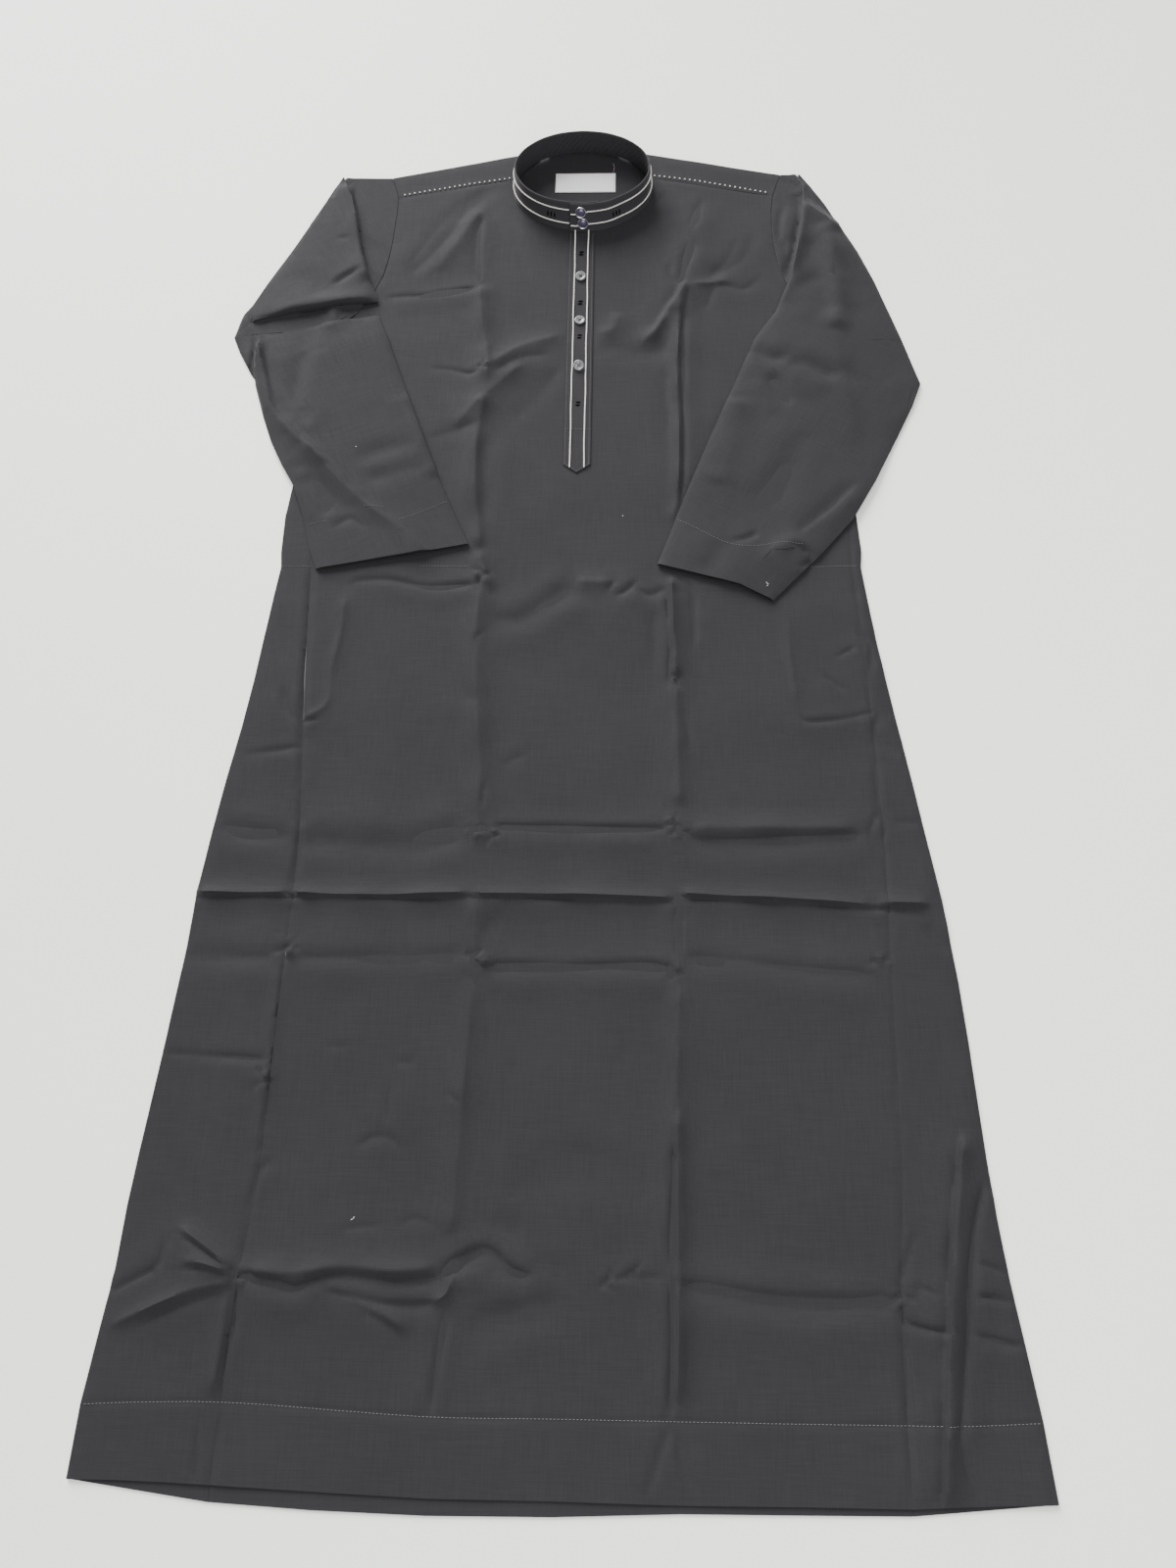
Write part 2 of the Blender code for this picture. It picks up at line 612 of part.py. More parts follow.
def back_outline():
    ups = [up for up in ROWS_UP if up <= GORE_TOP] + [row.up for row in SIDE if row.up > GORE_TOP]
    ups = [up for up in ups if up < YOKE_BACK[0]] + [YOKE_BACK[0] - GAP / 2]
    neck_ups = [yoke_neck_up(YOKE_BACK, share) for share in YOKE_BACK_SHARES[:-1]]
    half = {}
    for side, sign in (("left", -1), ("right", 1)):
        edge = [(panel_side(up, side) - sign * GAP / 2, up) for up in ups]
        x, _ = edge[0]
        edge[0] = (x, column(HEM, "across", x, "back"))
        neck = [(sign * (yoke_neck_across(up) - GAP), up) for up in neck_ups]
        corner = [(sign * (YOKE_NECK_END - GAP), shoulder_edge(YOKE_NECK_END))]
        half[side] = edge + neck + corner
    hem = [(row.across, row.back) for row in HEM if -0.27 < row.across < 0.28]
    return hem + half["right"] + [(0.0, BACK_NECK_UP)] + half["left"][::-1]


def make_back(cloth):
    return plate_solid("back_panel", back_outline(), 0.0, BACK_TOP, cloth)


def make_gore(side, cloth):
    """A side gore: from the front seam out over the side edge and back beneath to the back seam."""
    sign = -1 if side == "left" else 1
    loops = []
    for up in [u for u in ROWS_UP if u <= GORE_TOP]:
        top = min(up, GORE_TOP - GAP)
        seam = column(BODY, "up", top, side + "_seam") + sign * GAP / 2
        edge = column(BODY, "up", top, side)
        width = abs(edge - seam)
        rounding = min(WALL, 0.4 * width)
        outs = [share * width for share in GORE_SHARES] + [width - rounding]
        inside = width - WALL - rounding / 2
        face, under = [], []
        for out in outs:
            x = seam + sign * out
            front_up = column(HEM, "across", x, "front") if up == 0.0 else top
            fall = smooth(width, 0.8 * width, out)
            lift = relief(x, front_up) * fall
            face.append(place(x, front_up, FRONT_TOP + lift))
            under.append(place(seam + sign * min(out, inside), front_up, FRONT_UNDER + lift))
        edge_up = column(HEM, "across", edge, "front") if up == 0.0 else top
        mid = FRONT_TOP / 2
        face.append(place(edge, edge_up, mid + 0.3 * WALL))
        face.append(place(edge, edge_up, mid - 0.3 * WALL))
        inner = seam + sign * (width - WALL)
        under.append(place(inner, edge_up, mid + 0.12 * WALL))
        under.append(place(inner, edge_up, mid - 0.12 * WALL))
        for out in (width - rounding, 0.0):
            x = seam + sign * out
            back_up = column(HEM, "across", x, "back") if up == 0.0 else top
            face.append(place(x, back_up, 0.0))
            under.append(place(seam + sign * min(out, inside), back_up, BACK_TOP))
        loops.append(face + under[::-1])
    return wall_solid("gore_" + side, loops, cloth)


def yoke_spot(side, seam, up_share, share, z, inset=0.0):
    """A place on a yoke: share of the way from the armhole to the neck, up_share from seam to edge."""
    sign = -1 if side == "left" else 1
    arm_up = blend(seam[0] + GAP / 2, SHOULDER_EDGE[0], up_share)
    neck_up = yoke_neck_up((seam[0], seam[1] + GAP / 2), up_share)
    arm = abs(column(SIDE, "up", arm_up, side)) - GAP / 2
    across = blend(arm, yoke_neck_across(neck_up), share)
    return place(sign * across, blend(arm_up, neck_up, share) - inset, z)


def make_yoke(side, cloth):
    """A shoulder yoke: from its seam on the front, over the shoulder edge, to its seam on the back."""
    mid = FRONT_TOP / 2
    loops = []
    for step in range(YOKE_STEPS + 1):
        share = step / YOKE_STEPS
        face = [yoke_spot(side, YOKE_FRONT, s, share, FRONT_TOP) for s in YOKE_FRONT_SHARES]
        under = [yoke_spot(side, YOKE_FRONT, min(s, 0.90), share, FRONT_UNDER) for s in YOKE_FRONT_SHARES]
        for sign in (1, -1):
            face.append(yoke_spot(side, YOKE_FRONT, 1.0, share, mid + sign * 0.5 * WALL))
            under.append(yoke_spot(side, YOKE_FRONT, 1.0, share, mid + sign * 0.1 * WALL, WALL))
        for s in YOKE_BACK_SHARES[::-1]:
            face.append(yoke_spot(side, YOKE_BACK, s, share, 0.0))
            under.append(yoke_spot(side, YOKE_BACK, min(s, 0.93), share, BACK_TOP))
        loops.append(face + under[::-1])
    return wall_solid("yoke_" + side, loops, cloth)


def collar_section(angle, lap):
    """The collar's wall at an angle from the front: up its outer face and down its inner face."""
    low = REST_ON_FRONT if cos(angle) > cos(COLLAR_ON_BACK) else FRONT_UNDER
    heights = (low, COLLAR_HEIGHT - COLLAR_EDGE[0], COLLAR_HEIGHT)
    outer, inner = [], []
    for z, trim in zip(heights, (0.0, 0.0, COLLAR_EDGE[1])):
        rise = (z - FRONT_UNDER) / (COLLAR_HEIGHT - FRONT_UNDER)
        a = blend(COLLAR_FOOT[0], COLLAR_RIM[0], rise) + lap
        b = blend(COLLAR_FOOT[1], COLLAR_RIM[1], rise) + lap
        centre = COLLAR_UP + COLLAR_RIM_SHIFT * rise
        outer.append(place((a - trim) * sin(angle), centre - (b - trim) * cos(angle), z))
        a, b = a - COLLAR_WALL + trim, b - COLLAR_WALL + trim
        inner.append(place(a * sin(angle), centre - b * cos(angle), z))
    return outer + inner[::-1]


def make_collar(cloth):
    loops = []
    for step in range(COLLAR_STEPS + 1):
        angle = blend(COLLAR_UNDER_END, COLLAR_OVER_END, step / COLLAR_STEPS)
        lap = COLLAR_LAP * smooth(*COLLAR_LAP_ANGLES, angle)
        loops.append(collar_section(angle, lap))
    return wall_solid("collar", loops, cloth)


def make_placket(cloth):
    return plate_solid("placket", PLACKET_OUTLINE, REST_ON_FRONT, REST_ON_FRONT + WALL, cloth)


def make_pocket(name, lining):
    """A pocket bag, with its two bottom corners rounded."""
    pocket = POCKETS[name]
    low, high = sorted((pocket.inner, pocket.outer))
    outline = [(high, pocket.top), (low, pocket.top)]
    for centre_x, start in ((low + pocket.corner, 180), (high - pocket.corner, 270)):
        for k in range(5):
            angle = radians(start + 90 * k / 4)
            x = centre_x + pocket.corner * cos(angle)
            outline.append((x, pocket.bottom + pocket.corner * (1 + sin(angle))))
    return plate_solid(name, outline, FRONT_UNDER, FRONT_UNDER + POCKET_THICK, lining)


def make_label(white):
    x, up = LABEL_AT
    wide, tall, thick = LABEL_SIZE
    corners = [(x - wide / 2, up - tall / 2), (x + wide / 2, up - tall / 2)]
    corners += [(x + wide / 2, up + tall / 2), (x - wide / 2, up + tall / 2)]
    return plate_solid("neck_label", corners, FRONT_UNDER, FRONT_UNDER + thick, white)


# Sleeves


def beyond_body(x, up):
    """How far a place lies outside the body's side edge, below the armpits."""
    side = "left" if x < 0 else "right"
    return abs(x) - abs(body_edge(min(up, ARMPIT_UP), side))


def support(section, x, up):
    """The underside of a turned-down sleeve: level over the body, and down to the table beyond it."""
    sinks = smooth(*HANG_FROM, beyond_body(section.ox, section.oup)) * smooth(*HANG_UPS, up)
    return REST_ON_FRONT * (1 - sinks * smooth(SUPPORT_START, SUPPORT_END, beyond_body(x, up)))


def section_size(section):
    """A section's width, and the share of it where the crest of its fold lies."""
    width = hypot(section.ix - section.ox, section.iup - section.oup)
    return width, hypot(section.fx - section.ox, section.fup - section.oup) / width


def section_shares(section):
    """Shares across a section, closer at its edges, at its crest and where it leaves the body."""
    width, crest = section_size(section)
    leave = (beyond_body(section.ox, section.oup) - SUPPORT_START) / width
    drop = max(LEAST_DROP, min((SUPPORT_END - SUPPORT_START) / width, leave / 2))
    leave = min(max(leave, LEAVE_SHARES[0]), LEAVE_SHARES[1])
    shares = [max(LEAVE_SHARES[0] / 2, leave - drop), leave]
    shares += [crest, crest + min(CREST_STEP / width, 0.3 * (1 - crest))]
    shares += [blend(leave, 1.0, share) for share in INNER_SHARES]
    return sorted([*OUTERMOST_SHARES, *shares, *INNERMOST_SHARES])


def section_point(section, share, crest):
    """A place across a section: from the outer edge to the crest of its fold to the inner edge."""
    if share <= crest:
        part = share / crest
        return blend(section.ox, section.fx, part), blend(section.oup, section.fup, part)
    part = (share - crest) / (1 - crest)
    return blend(section.fx, section.ix, part), blend(section.fup, section.iup, part)


def sleeve_top(section, share, crest, lift):
    """Depth of the folded cloth across a section, with its long fold's crest raised."""
    body = sin(pi * blend(0.10, 0.90, share)) ** FULLNESS
    depth = section.depth
    if depth > FOLD_DEPTH:
        depth = blend(FOLD_DEPTH, depth, body)
    off = share - crest
    ridge = exp(off / CREST_RUNS[0]) if off <= 0 else exp(-off / CREST_RUNS[1])
    return depth + lift * ridge


def sleeve_loop(section, lift, under, inset=0.0):
    """A closed loop round one section, over its top and back along its underside."""
    width, crest = section_size(section)
    trim = inset / width
    top, bottom = [], []
    for share in section_shares(section):
        x, up = section_point(section, blend(trim, 1 - trim, share), crest)
        low = under(section, x, up, share)
        high = low + sleeve_top(section, share, crest, lift)
        if share in (0.0, 1.0):
            mid, half = (low + high) / 2, (high - low) / 2
            half = min(half, FOLD_DEPTH / 2) * (1 - EDGE_ROUNDING)
            half = min(half, GAP / 2) if inset else half
            low, high = mid - half, mid + half
        elif inset:
            low, high = low + WALL, max(low + WALL + GAP, high - WALL)
        top.append(place(x, up, high))
        bottom.append(place(x, up, low))
    return top + bottom[::-1]


def make_sleeve_run(name, sections, lift, under, hollow_from, material, collection=None):
    loops, hollows = [], []
    for index, section in enumerate(sections):
        loops.append(sleeve_loop(section, lift, under))
        if hollow_from is not None and index >= hollow_from:
            hollows.append(sleeve_loop(section, lift, under, inset=WALL))
    return tube_solid(name, loops, hollows, material, collection)


def make_head(side, pleat, material, collection):
    """The flat sleeve head between the armhole and the layers hidden by the turned-down sleeve."""
    sign = -1 if side == "left" else 1
    loops = []
    for row in [r for r in HEAD if r.up >= HEAD_LOW[side]]:
        inner = abs(column(SIDE, "up", row.up, side)) + HEAD_SEAM
        outer = abs(getattr(row, side))
        rise = max(inner + 0.006, abs(column(pleat, "iup", row.up, "ix")) + HEAD_SHOWN)
        rise = min(rise, outer - 0.010)
        spots = [inner, blend(inner, rise, 0.5), rise, rise + 0.004, outer - 0.003, outer]
        tops = [FRONT_TOP, FRONT_TOP, FRONT_TOP, HEAD_HIDDEN_TOP, HEAD_HIDDEN_TOP, FRONT_TOP / 2]
        face = [place(sign * x, row.up, z) for x, z in zip(spots, tops)]
        under = [place(sign * x, row.up, 0.0) for x in spots[:-1]]
        under.append(place(sign * outer, row.up, FRONT_TOP / 3))
        loops.append(face + under[::-1])
    return tube_solid(side + "_head", loops, None, material, collection)


def make_left_sleeve(cloth, hidden):
    def forearm_under(section, x, up, share):
        return support(section, x, up)

    def upper_under(section, x, up, share):
        near_edge = max(smooth(*NEAR_SHARES, share), smooth(*LEFT_NEAR_UPS, up))
        return REST_ON_FRONT + NEAR_LIFT * near_edge - PLEAT_DROP * smooth(PLEAT_SHARE, 0.0, share)

    sleeve = make_sleeve_run(
        "sleeve_left", LEFT_FOREARM, FOREARM_CREST, forearm_under, LEFT_FOREARM_HOLLOW_FROM, cloth
    )
    upper = make_sleeve_run("left_upper", LEFT_UPPER, 0.0, upper_under, None, cloth, hidden)
    head = make_head("left", LEFT_UPPER, cloth, hidden)
    unite(sleeve, [head, upper])
    return sleeve


def make_right_sleeve(cloth, hidden):
    def arm_under(section, x, up, share):
        near_edge = smooth(*NEAR_SHARES, share) * smooth(*RIGHT_NEAR_UPS, up)
        return support(section, x, up) + NEAR_LIFT * near_edge

    sleeve = make_sleeve_run("sleeve_right", RIGHT_ARM, 0.0, arm_under, RIGHT_ARM_HOLLOW_FROM, cloth)
    head = make_head("right", RIGHT_ARM, cloth, hidden)
    unite(sleeve, [head])
    return sleeve


# Fastenings


def turned(name, profile, matrix, material):
    """A solid turned about its own Z from a profile of (radius, height), then placed."""
    bm = bmesh.new()
    rings = []
    for radius, height in profile:
        if radius == 0.0:
            rings.append([bm.verts.new(matrix @ Vector((0, 0, height)))])
            continue
        angles = [2 * pi * k / BUTTON_STEPS for k in range(BUTTON_STEPS)]
        points = [matrix @ Vector((radius * cos(a), radius * sin(a), height)) for a in angles]
        rings.append(add_loop(bm, points))
    for first, second in zip(rings, rings[1:]):
        for k in range(BUTTON_STEPS):
            n = (k + 1) % BUTTON_STEPS
            if len(first) == 1:
                bm.faces.new((first[0], second[n], second[k]))
            elif len(second) == 1:
                bm.faces.new((first[k], first[n], second[0]))
            else:
                bm.faces.new((first[k], first[n], second[n], second[k]))
    return new_object(name, finish_mesh(name, bm), material)


def make_button(number, up, shell, hidden):
    """A four-hole button with a raised rim."""
    low = REST_ON_FRONT + WALL + GAP
    matrix = Matrix.Translation(place(0.0, up, low))
    profile = [(BUTTON_RADIUS * r, BUTTON_THICK * z) for r, z in BUTTON_PROFILE]
    button = turned(f"button_{number}", profile, matrix, shell)
    for k in range(4):
        angle = radians(45 + 90 * k)
        at = matrix @ Vector((BUTTON_HOLE_OFFSET * cos(angle), BUTTON_HOLE_OFFSET * sin(angle), 0))
        bm = bmesh.new()
        bmesh.ops.create_cone(
            bm, cap_ends=True, segments=6, radius1=BUTTON_HOLE_RADIUS, radius2=BUTTON_HOLE_RADIUS,
            depth=4 * BUTTON_THICK,
        )
        bmesh.ops.translate(bm, verts=bm.verts, vec=at)
        drill = new_object(f"button_{number}_drill_{k}", finish_mesh("drill", bm), shell, hidden)
        drill.hide_render = True
        drill.display_type = "WIRE"
        cut = button.modifiers.new(drill.name, "BOOLEAN")
        cut.operation = "DIFFERENCE"
        cut.object = drill
    return button


def make_snap(name, across, height, metal):
    """A domed snap on the outer face of the collar's lapping end."""
    rise = (height - FRONT_UNDER) / (COLLAR_HEIGHT - FRONT_UNDER)
    b = blend(COLLAR_FOOT[1], COLLAR_RIM[1], rise) + COLLAR_LAP
    a = blend(COLLAR_FOOT[0], COLLAR_RIM[0], rise) + COLLAR_LAP
    angle = across / a
    shift = COLLAR_UP + COLLAR_RIM_SHIFT * rise
    lean = atan2(COLLAR_FOOT[1] - COLLAR_RIM[1] + COLLAR_RIM_SHIFT, COLLAR_HEIGHT - FRONT_UNDER)
    out = Vector((sin(angle), -cos(angle) * cos(lean), sin(lean))).normalized()
    at = place(a * sin(angle), shift - b * cos(angle), height) + out * GAP
    matrix = Matrix.Translation(at) @ out.to_track_quat("Z", "Y").to_matrix().to_4x4()
    profile = [(SNAP_RADIUS * r, SNAP_HEIGHT * z) for r, z in SNAP_PROFILE]
    return turned(name, profile, matrix, metal)


def main():
    for obj in list(bpy.data.objects):
        bpy.data.objects.remove(obj, do_unlink=True)
    scene = bpy.context.scene.collection
    garment = bpy.data.collections.new(COLLECTION)
    hidden = bpy.data.collections.new("cutters")
    scene.children.link(garment)
    scene.children.link(hidden)

    cloth = cloth_material("charcoal_cloth", (0.060, 0.060, 0.064), 0.72)
    lining = cloth_material("pocketing", (0.075, 0.075, 0.078), 0.85)
    white = cloth_material("label_white", (0.80, 0.82, 0.80), 0.75)
    shell = cloth_material("button_grey", (0.10, 0.10, 0.11), 0.30)
    enamel = cloth_material("snap_enamel", (0.07, 0.05, 0.14), 0.20, 0.35)

    make_back(cloth)
    make_front(cloth)
    for side in ("left", "right"):
        make_gore(side, cloth)
        make_yoke(side, cloth)
        make_pocket("pocket_" + side, lining)
    make_collar(cloth)
    make_placket(cloth)
    make_label(white)
    make_left_sleeve(cloth, hidden)
    make_right_sleeve(cloth, hidden)
    for number, up in enumerate(BUTTON_UPS, 1):
        make_button(number, up, shell, hidden)
    for name, across, height in zip(("snap_upper", "snap_lower"), SNAP_ACROSS, SNAP_HEIGHTS):
        make_snap(name, across, height, enamel)


main()
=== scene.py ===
"""The looks of an ankle-length kurta that lies on its back with its sleeves folded over its front.

Metres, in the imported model's frame: +Z up from the surface, +Y towards the collar. The tables give places
as (across, up) in millimetres: across from the centre line, up from the hem's corners.
"""

from collections import namedtuple
from math import atan2, cos, hypot, pi, radians, sin, sqrt

import bmesh
import bpy
import numpy as np
from bpy.props import FloatProperty, FloatVectorProperty, PointerProperty
from mathutils import Matrix, Vector
from mathutils.bvhtree import BVHTree
from mathutils.geometry import delaunay_2d_cdt
from mathutils.kdtree import KDTree


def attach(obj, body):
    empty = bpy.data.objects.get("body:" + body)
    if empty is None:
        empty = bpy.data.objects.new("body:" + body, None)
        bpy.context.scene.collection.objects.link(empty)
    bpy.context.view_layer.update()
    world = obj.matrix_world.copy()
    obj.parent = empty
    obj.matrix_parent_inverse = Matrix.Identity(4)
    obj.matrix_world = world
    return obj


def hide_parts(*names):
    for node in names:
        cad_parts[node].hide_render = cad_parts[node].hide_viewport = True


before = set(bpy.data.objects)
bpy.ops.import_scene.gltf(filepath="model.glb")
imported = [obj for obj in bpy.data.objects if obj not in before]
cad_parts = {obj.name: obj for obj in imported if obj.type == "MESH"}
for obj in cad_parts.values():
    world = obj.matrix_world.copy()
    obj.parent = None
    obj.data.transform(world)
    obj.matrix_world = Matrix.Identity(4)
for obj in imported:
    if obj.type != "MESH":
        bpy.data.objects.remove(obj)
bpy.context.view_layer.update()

bl_info = {
    "name": "Laid-flat Kurta",
    "version": (1, 0, 0),
    "blender": (4, 5, 0),
    "location": "3D View > Sidebar > Kurta",
    "description": "Dresses the packed kurta in cloth, cords, stitches, buttons and snaps",
    "category": "Object",
}

MM = 0.001
MID_LENGTH = 0.71  # from the hem's corners to the frame's origin
WALL = 0.0012  # the cloth's thickness at its edges
ON_CLOTH = 0.0001  # from a face to the middle of a thread's ends on it
SEED = 7  # of every random draw

# Camera, fitted to the photograph, and the stage
CAMERA_AT = (0.050, -0.539, 1.067)
CAMERA_PITCH = radians(68.155)  # below the horizon
CAMERA_YAW = radians(-4.248)
CAMERA_ROLL = radians(3.612)
CAMERA_LENS = 27.09
CAMERA_SENSOR = 36.0
FLOOR_SIZE = 16
FLOOR_LEVEL = -0.0004
WORLD_COLOR = (1.0, 1.0, 0.99, 1.0)
LIGHTS = {  # size and place of each soft light
    "key": (6.6, (-4.0, 8.4, 4.8)),
    "top": (1.4, (0.4, 0.0, 2.1)),
    "fill": (1.8, (0.3, -2.6, 1.5)),
}

# How creases are shaped
CURVE_STEPS = 6  # of a curve, from one of its points to the next
CREST_ROUNDING = 0.8  # of a crease's line, in mm
SOFT_FROM = (10.0, 4.5)  # half widths in mm of creases that are wholly round, and wholly sharp
ROUND_WIDTH = 1.3  # of a round crease, against a sharp one's
CREASE_REACH = 6  # half widths from its line, as far as a crease is worked out
CREASE_FADE = (4.0, 2.5)  # half widths from its line where a crease has gone, and where it starts to go
SHOULDER = 0.6  # share of a trough's depth by which the cloth beside it stands up
SHOULDER_WIDTH = 2.6  # of that cloth, in the trough's half widths
SHOULDER_FADE = (6.0, 4.0)  # half widths where it has gone, and where it starts to go
# Unevenness along it: share of its height, mm for a radian, and radians' shift from crease to crease
CREASE_WAVES = ((0.22, 23.0, 1.0), (0.15, 9.7, 2.3))
END_FADE = 18.0  # mm over which a crease's end fades
END_SHARE = 0.35  # of a short crease's length, instead of that
END_BEYOND = 0.15  # share of the fade that lies beyond the end
KNOT_HOLLOW = 0.08  # share of a knot's size that its creases leave free in the middle
KNOT_BEND = 0.35  # radians by which each of its creases turns half way out
KNOT_WIDTHS = (2.6, 3.4)  # half widths of its creases, in mm
SWELL_WAVES = (190, 45, 16)  # longest and shortest in mm, and how many
PUCKER_WAVES = (34, 9, 30)
RIPPLE_GROWTH = 0.7  # power of its length by which a wave is higher
COVERED_SHARE = 0.15  # of the creases, under another piece
COVER_REACH = (0.0005, 0.005)  # from a piece on the cloth, where creases start and are whole
FLOOR_EASE = 0.0004  # how softly a trough stops above the layer beneath

# How solids are cut anew
MERGE_DISTANCE = 1e-6
RAY_START = 0.2  # of rays onto a solid, above and below the frame's origin
DROP_START = 0.05  # height from which rays fall onto finished cloth
HIDDEN_LAYER = 0.0014  # upward faces lower than this lie inside, between front and back
HEIGHT_STEP = 5.0  # of the grid of heights, in mm
HEIGHT_BLUR = 2  # of that grid, in cells
RIM_BLEND = 14.0  # mm over which the softened height gives way to the solid's own at its rim
RIM_SPACING = 0.0015  # longest edge along a rim
BORDER_STEP = 1.5  # in mm, between the places along a rim that new vertices keep clear of
CREASE_STEP = 2.6  # from one vertex to the next along a crease's line, in mm
# Rows of vertices beside that line: mm away, mm from one vertex to the next, and mm kept clear about each
CREASE_ROWS = ((2.2, 3.2, 1), (5.0, 4.5, 2), (9.0, 6.0, 3))
GRID_ROW = 0.87  # from row to row of the grid between creases, in its spacings
GRID_SHIFT = 0.12  # how far its vertices wander, in its spacings
GRID_CLEARANCE = 0.45  # how far they stay from earlier vertices, in its spacings
SEAM_CLOSING = 0.00012  # by which each rim grows, so that seams show as thin lines
UPRIGHT = 0.3  # greatest rise of a wall's normal
JOIN_BEND = radians(20)  # of two triangles that are joined before a sleeve is cut finer
JOIN_SKEW = radians(60)  # of the shape that they make
CLOSER_REACH = 9.0  # mm from a crease's line within which the sleeves' cloth is finer
CLOTH_SHARP = radians(60)  # edges of cloth that bend more show as sharp
TURNED_SHARP = radians(50)  # and edges of buttons and snaps

# Body and sleeves: spacings between vertices in mm
UPPER_PANELS = ("front_panel", "gore_left", "gore_right", "yoke_left", "yoke_right")
PANEL_SPACING = 8.0
LAYER_FLOOR = 0.0019  # what the front's upper side stays above
BACK_SPACING = 11.0
BACK_SHARE = 0.3  # of the front's unevenness, on the back's upper side
POCKET_SPACING = 6.0
POCKET_LAYER = 0.0018  # the bags' upward faces are higher than this
SLEEVE_DEPTH = 0.8  # of the front's crease depth
SLEEVE_PASSES = (6, 3)  # of softening, before and after the sleeves are cut finer at their creases
SLEEVE_FINE_SPACING = 0.0035  # longest edge at their creases, in metres
SLEEVE_FLOOR = 0.0035  # what a sleeve's upper side stays above
SLEEVE_RIM_LEAST = -0.0005  # deepest trough at a sleeve's rim

# Collar, as the solid has it
COLLAR_UP = 1.375  # of its foot's middle from the hem's corners
COLLAR_FOOT = (0.0840, 0.0660)  # half width and half depth of its outer face
COLLAR_RIM = (0.0812, 0.0587)
COLLAR_RIM_SHIFT = 0.0025  # of the rim's middle from the foot's, up the garment
COLLAR_LOW = 0.0015  # its foot at the back, on the back panel
COLLAR_STAND = 0.0031  # its foot on the front
COLLAR_STANDS_TO = radians(149)  # from the middle of the front, on each side
COLLAR_HEIGHT = 0.0345
COLLAR_WALL = 0.0020
COLLAR_LAP = 0.0025  # how far the upper end stands out over the lower one
COLLAR_LAP_ANGLES = (radians(-322), radians(-341))
COLLAR_START = radians(13.8)
COLLAR_END = radians(-369.3)
COLLAR_STEPS = 400
# Share of the wall's thickness from its outer face, and height down from the rim in mm
COLLAR_PROFILE = [
    (0.0, None), (0.0, 26.0), (0.0, 20.0), (0.0, 14.0), (0.0, 8.0), (0.0, 3.0), (-0.06, 1.6), (0.0, 0.9),
    (0.10, 0.4), (0.25, 0.1), (0.5, 0.0), (0.75, 0.1), (0.92, 0.4), (1.0, 1.2), (1.0, 3.0), (1.0, 6.0),
    (1.0, 9.0), (1.0, 12.0), (1.0, 15.0), (1.0, 18.0), (1.0, 21.0), (1.0, 24.0), (1.0, 27.0), (1.0, None),
]
COLLAR_LINED_FROM = 12  # the profile's points from here on are on the lining's side
COLLAR_WANDER = ((0.00010, 0.013), (0.00007, 0.0047))  # of its outside: how far, and length for a radian
COLLAR_WANDER_SLANT = 400  # radians for a metre of height
LINING_WAVE = 0.0075  # from rib to rib
LINING_RIPPLE = 0.00055  # how far they stand out
LINING_SLANT = 0.9  # metres round for a metre up
LINING_WANDER = ((0.4, 0.021), (0.3, 0.0083))  # of the ribs: radians, and length for a radian
LINING_TOP = (0.0345, 0.0310)  # heights where they end, and where they are whole
LINING_FOOT = (0.0035, 0.0080)  # the same at their foot

# Cords and bars
PLY_SHARE = 0.56  # of a cord's radius
PLY_SIDES = 6
# Each cord's height at its hidden end, round the back, beside the snaps and at the lap's edge
COLLAR_CORD_RISE = {
    "upper": (0.0262, 0.0266, 0.0264, 0.0232),
    "lower": (0.0112, 0.0118, 0.0124, 0.0102),
}
COLLAR_CORD_EASES = (  # the angles between which it goes from one to the next
    (radians(-10), radians(-60)),
    (radians(-300), radians(-350)),
    (radians(-353), radians(-366)),
)
COLLAR_CORD_ANGLES = (radians(-10.2), radians(-368.6))
COLLAR_CORD_STEP = radians(0.35)
COLLAR_CORD_SEAT = 0.75  # from the collar's face to the cord's middle, in the cord's radii
COLLAR_BARS = (radians(-26), radians(-330.5))  # the middle one of three, on each side
COLLAR_BAR_TURN = radians(3.1)
COLLAR_BAR_Z = (0.0147, 0.0208)
PLACKET_TOP = 0.0042
PLACKET_CORDS = {"left": -7.5, "right": 8.0}
PLACKET_CORD_UPS = (966.5, 1311.0)
PLACKET_CORD_STEP = 0.5
PLACKET_CORD_SEAT = 0.8
PLACKET_CORD_WANDER = ((0.2, 19.0), (0.12, 7.3))  # mm aside, and mm along for a radian
PLACKET_BARS_UP = (1272, 1197, 1147, 1052)
BAR_LENGTH = 6.0
BAR_WIDTH = 1.9
BAR_GAP = 3.8
BAR_SHIFT = 0.3  # mm by which each bar of a pair lies aside, and slants
BAR_BOW = 0.35  # how far a bar stands up, against a stitch

# Placket
PLACKET_SPACING = 5.0
PLACKET_EDGE = [(-13.2, 1306), (-13.2, 972), (0, 962), (13.2, 972), (13.2, 1306)]
PLACKET_EDGE_CREASE = (-0.25, 1.2, 1.2)  # height in mm, and half widths
PLACKET_SHARE = 0.6  # of the front's unevenness
PLACKET_RIM_SHARE = 0.3
PLACKET_CROSS_LINES = [[(-14, 1018), (-9, 1018)], [(-6, 1018), (6.5, 1018)], [(9.5, 1018), (14, 1018)]]

# Stitches: length, gap and width in metres, and lines of places in mm
STITCH_SIDES = 6
